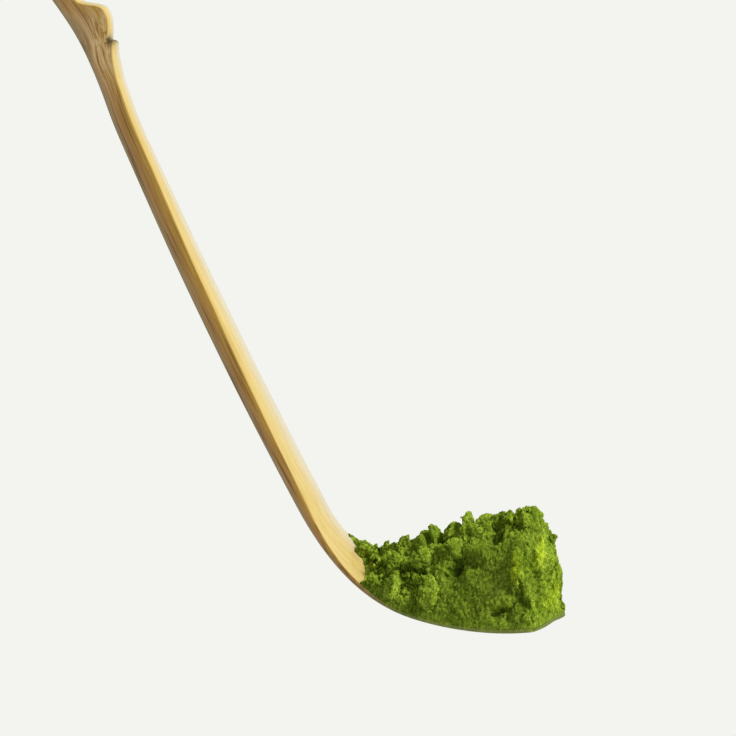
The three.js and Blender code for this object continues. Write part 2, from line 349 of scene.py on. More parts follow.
@dataclass
class StripShape:
    """Sizes of the bamboo strip, in millimetres, and its surface.

    The strip is bent along a chain of arcs. Its width and wall are functions of the distance from
    the lip, and its face and back are functions of that distance and of the side offset.
    """

    bowl_length: float = 15.6
    bend_length: float = 20.2
    shank_length: float = 49.0
    neck_length: float = 5.6
    node_length: float = 11.9
    handle_length: float = 79.5
    slopes: tuple[float, ...] = (-10.8, 11.9, 58.4, 64.0, 69.1, 53.5, 53.5)
    lip_width: float = 11.2
    shank_width: float = 5.3
    neck_width: float = 2.3
    end_width: float = 4.6
    lip_wall: float = 0.45
    shank_wall: float = 1.36
    neck_wall: float = 2.45
    handle_wall: float = 2.6
    lip_corner: float = 0.5
    edge_bevel: float = 0.12
    bevel_limit: float = 0.08
    back_radius: float = 45.0
    trough_radius: float = 48.0
    face_crown: float = 0.09
    node_crest: float = 9.7
    node_rise: float = 2.4
    node_below: float = 5.3
    node_above: float = 2.8
    fibres_above: float = 14.0
    node_pinch: float = 0.7
    pinch_reach: float = 8.5
    septum_drop: float = 3.25
    septum_width: float = 0.7
    septum_depth: float = 0.3
    septum_skew: float = 0.2
    ledge_break: float = 0.05
    far_droop: float = 0.5
    droop_start: float = 0.2
    droop_reach: float = 12.0
    ledge_rise: float = 0.85
    ledge_reach: float = 5.1
    grip_from_end: float = 36.0
    path: StripPath = field(init=False)

    def __post_init__(self) -> None:
        """Work out the path and the places along it."""
        lengths = (
            self.bowl_length,
            self.bend_length,
            self.shank_length,
            self.neck_length,
            self.node_length,
            self.handle_length,
        )
        self.path = StripPath(lengths, self.slopes)
        self.bend_start, self.shank_start, self.neck_start, self.node_start = self.path.starts[1:5]
        self.crest = self.node_start + self.node_crest
        self.septum = self.crest - self.septum_drop
        grip = np.array([self.path.length - self.grip_from_end])
        self.origin = np.zeros(3)
        self.origin = self.place(grip, np.zeros(1), self.wall(grip))[0]
        self.lip = self.place(np.zeros(1), np.zeros(1), np.zeros(1))[0]

    def blade_half_width(self, distance: Array) -> Array:
        """Half the width before the lip is rounded: eased in the bend, pinched at the node.

        Args:
            distance: Distance from the lip.

        Returns:
            Half the width, which falls evenly along the shank and eases out along the handle.
        """
        narrowing = smoothstep(distance, self.bend_start, self.shank_start)
        blade = lerp(self.lip_width, self.shank_width, narrowing)
        taper = np.clip((distance - self.shank_start) / self.shank_length, 0.0, 1.0)
        shank = lerp(self.shank_width, self.neck_width, taper)
        widening = smoothstep(distance, self.node_start, self.path.length)
        pinch = self.node_pinch * hump((distance - self.crest) / self.pinch_reach)
        handle = lerp(self.neck_width, self.end_width, widening) - pinch
        width = np.where(distance < self.shank_start, blade, shank)
        return np.where(distance < self.neck_start, width, handle) / 2.0

    def half_width(self, distance: Array) -> Array:
        """Half the width with the round corners of the lip, which are quarter circles.

        Args:
            distance: Distance from the lip.

        Returns:
            Half the blade's width, less what the quarter circle takes off.
        """
        lack = self.lip_corner - np.clip(distance, 0.0, self.lip_corner)
        cut = self.lip_corner - np.sqrt(self.lip_corner**2 - lack**2)
        return self.blade_half_width(distance) - cut

    def carved_wall(self, distance: Array) -> Array:
        """Wall without the node: square of the share in the bend, a quarter sine in the shank.

        Args:
            distance: Distance from the lip.

        Returns:
            Thickness of the wall at the edges of the strip.
        """
        bend = np.clip((distance - self.bend_start) / self.bend_length, 0.0, 1.0)
        blade = lerp(self.lip_wall, self.shank_wall, bend**2)
        rise = np.clip((distance - self.shank_start) / self.shank_length, 0.0, 1.0)
        shank = lerp(self.shank_wall, self.neck_wall, np.sin(rise * QUARTER))
        settling = smoothstep(distance, self.neck_start, self.crest)
        handle = lerp(self.neck_wall, self.handle_wall, settling)
        wall = np.where(distance < self.shank_start, blade, shank)
        return np.where(distance < self.neck_start, wall, handle)

    def swelling(self, distance: Array) -> Array:
        """Rise of the face at the node: half a cosine wave, steeper above the crest.

        Args:
            distance: Distance from the lip.

        Returns:
            What the node adds to the wall.
        """
        offset = distance - self.crest
        reach = np.where(offset < 0.0, self.node_below, self.node_above)
        return self.node_rise * hump(offset / reach)

    def fibre_swelling(self, distance: Array) -> Array:
        """How far the fibres spread at the node. They run on above it, where the face cuts them.

        Args:
            distance: Distance from the lip.

        Returns:
            Half a cosine wave below the crest, and a longer one above it.
        """
        offset = distance - self.crest
        reach = np.where(offset < 0.0, self.node_below, self.fibres_above)
        return self.node_rise * hump(offset / reach)

    def wall(self, distance: Array) -> Array:
        """Wall at the edges of the strip, with the node's swelling."""
        return self.carved_wall(distance) + self.swelling(distance)

    def septum_offset(self, distance: Array, side: Array) -> Array:
        """Distance above the line of the culm's cross wall, which runs lower on the far side."""
        return distance - self.septum + self.septum_skew * side

    def septum_relief(self, distance: Array, side: Array) -> Array:
        """What is left of the cross wall: a ledge that breaks off at a groove along its line.

        Args:
            distance: Distance from the lip.
            side: Offset across the strip.

        Returns:
            Half a cosine wave below the line, cut off at it, less a groove of straight flanks.
        """
        offset = self.septum_offset(distance, side)
        groove = np.clip(1.0 - np.abs(offset) / (self.septum_width / 2.0), 0.0, 1.0)
        whole = 1.0 - smoothstep(offset, -self.ledge_break, self.ledge_break)
        ledge = self.ledge_rise * hump(offset / self.ledge_reach) * whole
        return ledge - self.septum_depth * groove

    def face_height(self, distance: Array, side: Array) -> Array:
        """Height of the face above the path: a trough in the bowl that turns into a low crown.

        Args:
            distance: Distance from the lip.
            side: Offset across the strip.

        Returns:
            The wall, less a parabola in the bowl, plus a parabola from the shank on.
        """
        flattening = smoothstep(distance, self.bend_start, self.shank_start)
        half = self.blade_half_width(distance)
        depth = (half**2 - side**2) / (2.0 * self.trough_radius) + self.droop(distance, side)
        crown = self.face_crown * (half - side**2 / half)
        return self.wall(distance) + lerp(-depth, crown, flattening)

    def back_height(self, distance: Array, side: Array) -> Array:
        """Height of the back, which bulges below the path as the skin of the culm does."""
        bulge = (self.blade_half_width(distance) ** 2 - side**2) / (2.0 * self.back_radius)
        return -bulge - self.droop(distance, side)

    def droop(self, distance: Array, side: Array) -> Array:
        """How far the far corner of the lip hangs: full at the corner, none beyond the bowl."""
        share = smoothstep(side / self.blade_half_width(distance), self.droop_start, 1.0)
        return self.far_droop * share * (1.0 - smoothstep(distance, 0.0, self.droop_reach))

    def place(self, distance: Array, side: Array, height: Array) -> Array:
        """Points of the strip in the row frame.

        Args:
            distance: Distance from the lip along the back.
            side: Offset across the strip, along Y.
            height: Height above the back, towards the face.

        Returns:
            The path's point plus height times the path's normal, less the frame's origin.
        """
        distance, side, height = np.broadcast_arrays(distance, side, height)
        foot = self.path.points(distance)
        slope = self.path.slopes_at(distance)
        x = foot[..., 0] + height * np.sin(slope)
        z = foot[..., 1] + height * np.cos(slope)
        return np.stack([x, side, z], axis=-1) - self.origin


# Shader graphs

class ShaderGraph:
    """Adds nodes to a node tree and links them."""

    def __init__(self, tree: Any) -> None:
        """Start on an empty tree."""
        self.tree = tree
        tree.nodes.clear()

    def add(self, kind: str, **settings: Any) -> Any:
        """Add a node and set its properties.

        Args:
            kind: Type of node, without the leading ShaderNode.
            **settings: Properties of the node.

        Returns:
            The new node.
        """
        node = self.tree.nodes.new(kind if kind.startswith("NodeGroup") else "ShaderNode" + kind)
        for key, value in settings.items():
            setattr(node, key, value)
        return node

    def feed(self, socket: Any, value: Any) -> None:
        """Link a socket to an output, or set it to a plain value.

        Args:
            socket: Input to feed.
            value: An output socket, a number, a vector or a colour.
        """
        if isinstance(value, bpy.types.NodeSocket):
            self.tree.links.new(value, socket)
        elif isinstance(value, tuple) and len(value) == 3 and socket.type == "RGBA":
            socket.default_value = (*value, 1.0)
        else:
            socket.default_value = value

    def attribute(self, name: str, output: str = "Fac") -> Any:
        """Output of a mesh attribute, as a number or, with output Vector, as three."""
        return self.add("Attribute", attribute_name=name).outputs[output]

    def math(self, operation: str, first: Any, second: Any = 0.0, third: Any = 0.0) -> Any:
        """Result of a Math node.

        Args:
            operation: What the node works out.
            first: First input, a socket or a number.
            second: Second input.
            third: Third input.

        Returns:
            The node's output.
        """
        node = self.add("Math", operation=operation)
        for socket, value in zip(node.inputs, (first, second, third)):
            self.feed(socket, value)
        return node.outputs[0]

    def blend(self, share: float, first: Any, second: Any) -> Any:
        """Weighted mean of two numbers: share times the first, and the rest times the second."""
        parts = self.math("MULTIPLY", first, share), self.math("MULTIPLY", second, 1.0 - share)
        return self.math("ADD", *parts)

    def ease(self, value: Any, low: float, high: float) -> Any:
        """Eased share of a value between low and high.

        Args:
            value: Number to ease.
            low: Where the share is 0.
            high: Where the share is 1.

        Returns:
            The share, 3t squared less 2t cubed.
        """
        node = self.add("MapRange", interpolation_type="SMOOTHSTEP")
        self.feed(node.inputs["Value"], value)
        node.inputs["From Min"].default_value = low
        node.inputs["From Max"].default_value = high
        return node.outputs["Result"]

    def scaled(self, vector: Any, scale: Triple) -> Any:
        """Vector times a scale for each of its three parts.

        Args:
            vector: Vector to scale.
            scale: The three factors.

        Returns:
            The scaled vector.
        """
        node = self.add("Mapping")
        self.feed(node.inputs["Vector"], vector)
        node.inputs["Scale"].default_value = scale
        return node.outputs["Vector"]

    def noise(self, vector: Any, scale: float, detail: float = 2.0, rough: float = 0.5) -> Any:
        """Value of a noise texture.

        Args:
            vector: Where the noise is read.
            scale: Waves per unit of length.
            detail: How many finer layers are added.
            rough: Strength of each finer layer.

        Returns:
            The noise, about 0.5 on the whole.
        """
        node = self.add("TexNoise")
        self.feed(node.inputs["Vector"], vector)
        node.inputs["Scale"].default_value = scale
        node.inputs["Detail"].default_value = detail
        node.inputs["Roughness"].default_value = rough
        return node.outputs[0]

    def cells(self, vector: Any) -> Any:
        """Distance to the nearest seed of a texture of cells one unit wide.

        Args:
            vector: Where the texture is read.

        Returns:
            The distance, in cells.
        """
        node = self.add("TexVoronoi")
        self.feed(node.inputs["Vector"], vector)
        node.inputs["Scale"].default_value = 1.0
        return node.outputs["Distance"]

    def mix(self, share: Any, first: Any, second: Any, blend: str = "MIX") -> Any:
        """Mix of two colours.

        Args:
            share: How much of the second colour, or of the blend with it, there is.
            first: First colour.
            second: Second colour.
            blend: How the second colour is laid over the first.

        Returns:
            The mixed colour.
        """
        node = self.add("Mix", data_type="RGBA", blend_type=blend)
        for key, value in (("Factor", share), ("A", first), ("B", second)):
            sockets = [s for s in node.inputs if s.name == key and s.enabled]
            self.feed(sockets[0], value)
        return next(s for s in node.outputs if s.enabled)

    def ramp(self, share: Any, stops: tuple[tuple[float, Colour], ...]) -> Any:
        """Colour ramp through the given stops.

        Args:
            share: Place on the ramp.
            stops: Places and colours, in rising order.

        Returns:
            The colour at the share.
        """
        node = self.add("ValToRGB")
        self.feed(node.inputs[0], share)
        elements = node.color_ramp.elements
        while len(elements) < len(stops):
            elements.new(1.0)
        for element, (place, colour) in zip(elements, stops):
            element.position = place
            element.color = (*colour, 1.0)
        return node.outputs["Color"]


def principled(name: str) -> tuple[Any, ShaderGraph, Any]:
    """Start a material whose surface is one Principled shader.

    Args:
        name: Name of the material.

    Returns:
        The material, its graph and the shader node.
    """
    material = bpy.data.materials.new(name)
    material.use_nodes = True
    graph = ShaderGraph(material.node_tree)
    output = graph.add("OutputMaterial")
    shader = graph.add("BsdfPrincipled")
    graph.feed(output.inputs["Surface"], shader.outputs[0])
    return material, graph, shader


@dataclass(frozen=True)
class TeaGrain:
    """Grain of the tea powder, shared by the powder itself and by its dust on the bamboo."""

    group_name: str = "tea_grain"
    dark: Colour = (0.114, 0.184, 0.011)
    middle: Colour = (0.266, 0.396, 0.023)
    bright: Colour = (0.580, 0.735, 0.080)
    grain: float = 2.6
    speck: float = 5.5
    patch: float = 0.45
    upright: float = 0.65
    roughness: float = 0.6
    speck_share: float = 0.5
    patch_share: float = 0.25
    stops: Triple = (0.38, 0.5, 0.62)

    def group(self) -> Any:
        """Node group that gives the grain's colour and height from a place in millimetres."""
        found = bpy.data.node_groups.get(self.group_name)
        return found or self._make_group()

    def _make_group(self) -> Any:
        """Build the group: three sizes of noise added up, through a ramp of greens.

        Returns:
            The node tree, with the grain's colour and height as its outputs.
        """
        tree = bpy.data.node_groups.new(self.group_name, "ShaderNodeTree")
        graph = ShaderGraph(tree)
        tree.interface.new_socket("Place", in_out="INPUT", socket_type="NodeSocketVector")
        tree.interface.new_socket("Colour", in_out="OUTPUT", socket_type="NodeSocketColor")
        tree.interface.new_socket("Height", in_out="OUTPUT", socket_type="NodeSocketFloat")
        place = graph.add("NodeGroupInput").outputs["Place"]
        fine = graph.noise(place, self.speck, 1.0, self.roughness)
        grain = graph.noise(place, self.grain, 2.0, self.roughness)
        height = graph.blend(self.speck_share, fine, grain)
        tone = graph.blend(self.patch_share, graph.noise(place, self.patch), height)
        greens = tuple(zip(self.stops, (self.dark, self.middle, self.bright)))
        output = graph.add("NodeGroupOutput")
        graph.feed(output.inputs["Colour"], graph.ramp(tone, greens))
        graph.feed(output.inputs["Height"], height)
        return tree

    def sample(self, graph: ShaderGraph) -> Any:
        """Place the group in a material, read at Object coordinates in millimetres.

        Args:
            graph: Graph of the material.

        Returns:
            The group's node.
        """
        place = graph.add("TexCoord").outputs["Object"]
        node = graph.add("Group", node_tree=self.group())
        scale = (1.0 / MM, 1.0 / MM, self.upright / MM)
        graph.feed(node.inputs["Place"], graph.scaled(place, scale))
        return node


@dataclass(frozen=True)
class PowderFinish:
    """Dry powder: fully matte, with grain, painted shade in its crevices and painted highlights on
    its lit ridges.
    """

    grain: TeaGrain = TeaGrain()
    # Colour multiplied over the grain as painted shade in crevices, furrows and at the foot of the
    # end.
    crevice_shade: Colour = (0.24, 0.30, 0.22)
    # Tint of the painted highlights on the lit ridges.
    painted_highlight: Colour = (1.5, 1.36, 0.7)
    sheen: float = 0.12
    shine: float = 0.08
    bump: float = 0.9
    bump_height: float = 0.10

    def material(self) -> Any:
        """Build the powder's material.

        Returns:
            The material, which the mound, the clods and the crumbs share.
        """
        material, graph, shader = principled("tea_powder")
        grain = self.grain.sample(graph)
        colour = grain.outputs["Colour"]
        # Painted shade in the crevices, then painted highlights on the lit ridges, each multiplied
        # over the grain.
        for name, tint in (("crevice_shade", self.crevice_shade), ("painted_highlight", self.painted_highlight)):
            colour = graph.mix(graph.attribute(name), colour, tint, "MULTIPLY")
        graph.feed(shader.inputs["Base Color"], colour)
        shader.inputs["Roughness"].default_value = 1.0
        shader.inputs["Diffuse Roughness"].default_value = 1.0
        shader.inputs["Specular IOR Level"].default_value = self.shine
        shader.inputs["Sheen Weight"].default_value = self.sheen
        shader.inputs["Sheen Tint"].default_value = (*self.grain.bright, 1.0)
        bump = graph.add("Bump")
        bump.inputs["Strength"].default_value = self.bump
        bump.inputs["Distance"].default_value = self.bump_height * MM
        graph.feed(bump.inputs["Height"], grain.outputs["Height"])
        graph.feed(shader.inputs["Normal"], bump.outputs[0])
        return material


@dataclass(frozen=True)
class DustFinish:
    """Film of tea powder on the bamboo: speckled where it is thin, and dark green along the lip."""

    grain: TeaGrain = TeaGrain()
    film: Colour = (0.21, 0.24, 0.085)
    pale_film: Colour = (0.42, 0.41, 0.24)
    lip_film: Colour = (0.095, 0.13, 0.011)
    speckle: float = 2.2
    speckle_roughness: float = 0.7
    speckle_gain: float = 1.4
    cover_span: Span = (0.8, 1.5)
    film_share: float = 0.55
    film_span: Span = (0.2, 0.9)
    lip_span: Span = (0.95, 1.3)

    def lay(self, graph: ShaderGraph, under: Any) -> tuple[Any, Any]:
        """Lay the film over a colour, as thick as the attribute dust says.

        Args:
            graph: Graph to build in.
            under: Colour of what the film lies on.

        Returns:
            The colour with the film, and the film's mask.
        """
        place = graph.add("TexCoord").outputs["Object"]
        place = graph.scaled(place, (1.0 / MM, 1.0 / MM, 1.0 / MM))
        speckle = graph.noise(place, self.speckle, detail=5.0, rough=self.speckle_roughness)
        thick = graph.attribute("dust")
        cover = graph.math("MULTIPLY_ADD", speckle, self.speckle_gain, thick)
        mask = graph.ease(cover, *self.cover_span)
        powder = graph.mix(self.film_share, self.grain.sample(graph).outputs["Colour"], self.film)
        powder = graph.mix(graph.ease(mask, *self.film_span), self.pale_film, powder)
        powder = graph.mix(graph.ease(thick, *self.lip_span), powder, self.lip_film)
        return graph.mix(mask, under, powder), mask


@dataclass(frozen=True)
class BambooFinish:
    """Whittled bamboo: golden face, brown sides with dark fibre bundles, and a smoother skin."""

    dust: DustFinish = DustFinish()
    face_low: Colour = (0.68, 0.47, 0.12)
    face_middle: Colour = (0.80, 0.60, 0.20)
    face_high: Colour = (0.84, 0.68, 0.30)
    # Painted reflection: pale glare of the backdrop towards the face's far edge.
    far_edge_glare: Colour = (0.80, 0.73, 0.54)
    side_skin: Colour = (0.52, 0.40, 0.23)
    side_middle: Colour = (0.585, 0.32, 0.10)
    side_inner: Colour = (0.76, 0.46, 0.09)
    bevel: Colour = (0.74, 0.50, 0.13)
    node_pale: Colour = (1.0, 0.73, 0.37)
    node_dark: Colour = (0.66, 0.56, 0.42)
    skin_low: Colour = (0.30, 0.225, 0.105)
    skin_high: Colour = (0.50, 0.38, 0.18)
    bundle: Colour = (0.46, 0.38, 0.30)
    shade: Colour = (0.62, 0.56, 0.46)
    # Colour of the dark line and painted shadow at the broken cross wall.
    septum: Colour = (0.08, 0.05, 0.018)
    fine_scale: Triple = (0.11, 5.0, 5.0)
    streak_scale: Triple = (0.05, 1.7, 1.7)
    bundle_scale: Triple = (0.06, 2.6, 2.6)
    pale_scale: Triple = (0.09, 4.6, 4.6)
    fine_roughness: float = 0.65
    pale_roughness: float = 0.62
    bundle_span: Span = (0.12, 0.46)
    bundle_strength: float = 0.85
    bundle_change: float = -0.45
    bundle_depth: float = 0.5
    pale_span: Span = (0.42, 0.56)
    deep_span: Span = (0.34, 0.46)
    layer_shift: float = 0.5
    side_stops: Triple = (0.05, 0.45, 0.92)
    tone_share: float = 0.6
    tone_stops: Triple = (0.3, 0.5, 0.7)
    glare_span: Span = (-0.7, 0.9)
    bevel_share: float = 0.8
    shade_stops: Span = (0.3, 0.56)
    shade_share: float = 0.9
    face_shade: float = -0.65
    node_shade: float = -0.7
    least_shade: float = 0.1
    face_roughness: float = 0.42
    side_roughness: float = 0.62
    gloss_change: float = 0.16
    shine: float = 0.3
    bump: float = 0.6
    bump_height: float = 0.03

    def material(self) -> Any:
        """Build the bamboo's material from the strip's own fibre coordinates.

        Returns:
            The material, whose film of powder is as matte as the powder itself.
        """
        material, graph, shader = principled("whittled_bamboo")
        fibre = graph.attribute("fibre", "Vector")
        place = graph.scaled(fibre, self.fine_scale)
        fine = graph.noise(place, 1.0, detail=6.0, rough=self.fine_roughness)
        bundle = graph.cells(graph.scaled(fibre, self.bundle_scale))
        dark = graph.math("SUBTRACT", 1.0, graph.ease(bundle, *self.bundle_span))
        colour, mask = self.dust.lay(graph, self._body_colour(graph, fibre, fine, dark))
        graph.feed(shader.inputs["Base Color"], colour)
        change = self.face_roughness - self.side_roughness
        least = self.side_roughness - self.gloss_change / 2.0
        gloss = graph.math("MULTIPLY_ADD", graph.attribute("face"), change, least)
        gloss = graph.math("MULTIPLY_ADD", fine, self.gloss_change, gloss)
        graph.feed(shader.inputs["Roughness"], graph.math("MAXIMUM", gloss, mask))
        shader.inputs["Specular IOR Level"].default_value = self.shine
        bump = graph.add("Bump")
        bump.inputs["Strength"].default_value = self.bump
        bump.inputs["Distance"].default_value = self.bump_height * MM
        groove = graph.math("MULTIPLY", dark, self.bundle_depth)
        graph.feed(bump.inputs["Height"], graph.math("SUBTRACT", fine, groove))
        graph.feed(shader.inputs["Normal"], bump.outputs[0])
        return material

    def _body_colour(self, graph: ShaderGraph, fibre: Any, fine: Any, dark: Any) -> Any:
        """Colour of the clean bamboo.

        Args:
            graph: Graph to build in.
            fibre: Fibre coordinates.
            fine: Fine fibre noise.
            dark: Mask of the fibre bundles.

        Returns:
            Sides coloured by depth and bundles, with the face and the skin laid over them, a
            painted reflection paling the face towards its far edge, and the dark line and painted
            shadow of the broken cross wall on top.
        """
        node, flat = graph.attribute("node"), graph.attribute("face")
        streak = graph.noise(graph.scaled(fibre, self.streak_scale), 1.0, detail=3.0)
        place = graph.scaled(fibre, self.pale_scale)
        pale = graph.noise(place, 1.0, detail=5.0, rough=self.pale_roughness)
        shift = graph.math("MULTIPLY_ADD", streak, self.layer_shift, -self.layer_shift / 2.0)
        layers = tuple(zip(self.side_stops, (self.side_skin, self.side_middle, self.side_inner)))
        side = graph.ramp(graph.math("ADD", graph.attribute("depth"), shift), layers)
        light = graph.math("MULTIPLY", node, graph.ease(pale, *self.pale_span))
        side = graph.mix(light, side, self.node_pale)
        deep = graph.math("SUBTRACT", 1.0, graph.ease(pale, *self.deep_span))
        side = graph.mix(graph.math("MULTIPLY", node, deep), side, self.node_dark, "MULTIPLY")
        bold = graph.math("MULTIPLY_ADD", node, self.bundle_change, self.bundle_strength)
        side = graph.mix(graph.math("MULTIPLY", dark, bold), side, self.bundle, "MULTIPLY")
        tone = graph.blend(self.tone_share, fine, streak)
        golds = self.face_low, self.face_middle, self.face_high
        face = graph.ramp(tone, tuple(zip(self.tone_stops, golds)))
        # Painted reflection: the face pales towards its far edge, as a grazing reflection of the
        # pale backdrop would.
        glare_share = graph.ease(graph.attribute("across"), *self.glare_span)
        face = graph.mix(glare_share, face, self.far_edge_glare)
        browns = self.skin_low, self.skin_high
        skin = graph.ramp(tone, tuple(zip(self.tone_stops[::2], browns)))
        bevel = graph.math("MULTIPLY", graph.attribute("bevel"), self.bevel_share)
        colour = graph.mix(bevel, side, self.bevel)
        colour = graph.mix(flat, colour, face)
        colour = graph.mix(graph.attribute("skin"), colour, skin)
        shade = graph.ramp(fine, tuple(zip(self.shade_stops, (self.shade, WHITE))))
        rough = graph.math("MULTIPLY_ADD", flat, self.face_shade, self.shade_share)
        rough = graph.math("MULTIPLY_ADD", node, self.node_shade, rough)
        rough = graph.math("MAXIMUM", rough, self.least_shade)
        colour = graph.mix(rough, colour, shade, "MULTIPLY")
        # The broken cross wall's dark line and painted shadow, laid over all.
        return graph.mix(graph.attribute("septum"), colour, self.septum)


# The bamboo

@dataclass
class StripMarks:
    """What the bamboo's material reads: fibre, node, the broken cross wall's dark line and painted
    shadow, the painted reflection across the face, and film of powder.
    """

    shape: StripShape
    node_reach: float = 5.2
    node_span: Span = (0.08, 0.45)
    swirl_stretch: float = 3.0
    swirl_size: float = 1.6
    swirl_seed: int = 23
    swirl_depth: float = 0.5
    swirl_side: float = 0.4
    # Painted reflection: how far its pale glare on the face is pulled back near the bowl.
    glare_pullback: float = 0.45
    glare_pullback_span: Span = (26.0, 48.0)
    dust_start: float = 27.0
    dust_full: float = 17.0
    dust_lip: float = 0.4
    dust_edge: float = 0.9
    middle_dust: float = 0.35
    back_dust: float = 0.6
    face_dust: float = 0.9
    rim_dust: float = 0.5
    rim_span: Span = (0.05, 0.3)
    # Dark line at the cross wall's break, partly painted shade, and a knot of painted shadow where
    # the groove meets the near edge.
    line_drop: float = 0.14
    line_width: float = 0.26
    line_span: Span = (0.93, 0.99)
    line_strength: float = 0.9
    knot_rise: float = 0.08
    knot_length: float = 0.55
    knot_inset: float = 0.3
    knot_width: float = 0.8
    knot_span: Span = (0.9, 0.96)

    def gather(self, distance: Array, side: Array, rise: Array) -> dict[str, Array]:
        """Values at the points of the strip.

        Args:
            distance: Distances of the sections, shape (sections, 1).
            side: Side offsets of the points.
            rise: Heights of the points above the back.

        Returns:
            Depth from skin to face, share of node, thickness of dust, place across the strip
            pulled back near the bowl, which sets the painted reflection on the face, share of the
            cross wall's dark line and painted shadow, and fibre coordinates in millimetres, by
            attribute name.
        """
        half = self.shape.half_width(distance)
        spread = np.broadcast_to(distance, side.shape)
        depth = np.clip(rise / self.shape.wall(distance), 0.0, 1.0)
        node = bell(distance - self.shape.septum, self.node_reach) * np.ones_like(side)
        marks = {
            "depth": depth,
            "node": node * smoothstep(depth, *self.node_span),
            "dust": self._dust(spread, half - np.abs(side), depth),
            "across": side / half - self.glare_pullback * (1.0 - smoothstep(spread, *self.glare_pullback_span)),
            "septum": self._septum_shadow(distance, side, depth),
        }
        done = {key: values.reshape(-1) for key, values in marks.items()}
        stretched = np.stack([spread / self.swirl_stretch, side, rise], axis=-1)
        swirl = node * layered_noise(stretched, self.swirl_size, self.swirl_seed, 2)
        carved = self.shape.carved_wall(distance)
        layer = rise * carved / (carved + self.shape.fibre_swelling(distance))
        fibre = [spread, side + self.swirl_side * swirl, layer + self.swirl_depth * swirl]
        done["fibre"] = np.stack(fibre, axis=-1).reshape(-1, 3)
        return done

    def _dust(self, spread: Array, margin: Array, depth: Array) -> Array:
        """Thickness of the film of powder, most along the edges and on the lip's front.

        Args:
            spread: Distance of each point from the lip.
            margin: Distance of each point from the strip's edge.
            depth: Share of the way from the skin to the face.

        Returns:
            The thickness, 0 beyond the mound's tail.
        """
        edge = 1.0 - smoothstep(margin, 0.0, self.dust_edge)
        lip = 1.0 - smoothstep(spread, self.dust_lip, 2.0 * self.dust_lip)
        most = lerp(self.back_dust, self.face_dust, depth)
        dusted = smoothstep(self.dust_start - spread, 0.0, self.dust_start - self.dust_full)
        dust = dusted * lerp(self.middle_dust, most, np.maximum(edge, lip))
        return dust + self.rim_dust * (1.0 - smoothstep(spread, *self.rim_span))

    def _septum_shadow(self, distance: Array, side: Array, depth: Array) -> Array:
        """Dark line at the broken cross wall, partly its dark remains and partly painted shade,
        with a knot of painted shadow at the near edge.

        Args:
            distance: Distances of the sections, shape (sections, 1).
            side: Side offsets of the points.
            depth: Share of the way from the skin to the face.

        Returns:
            Bell curves across the line and about the knot, on the face alone.
        """
        offset = self.shape.septum_offset(distance, side)
        line = bell(offset + self.line_drop, self.line_width) * smoothstep(depth, *self.line_span)
        above = distance - self.shape.septum - self.knot_rise
        inward = side + self.shape.half_width(distance) - self.knot_inset
        knot = bell(above, self.knot_length) * bell(inward, self.knot_width)
        return np.maximum(self.line_strength * line, knot * smoothstep(depth, *self.knot_span))


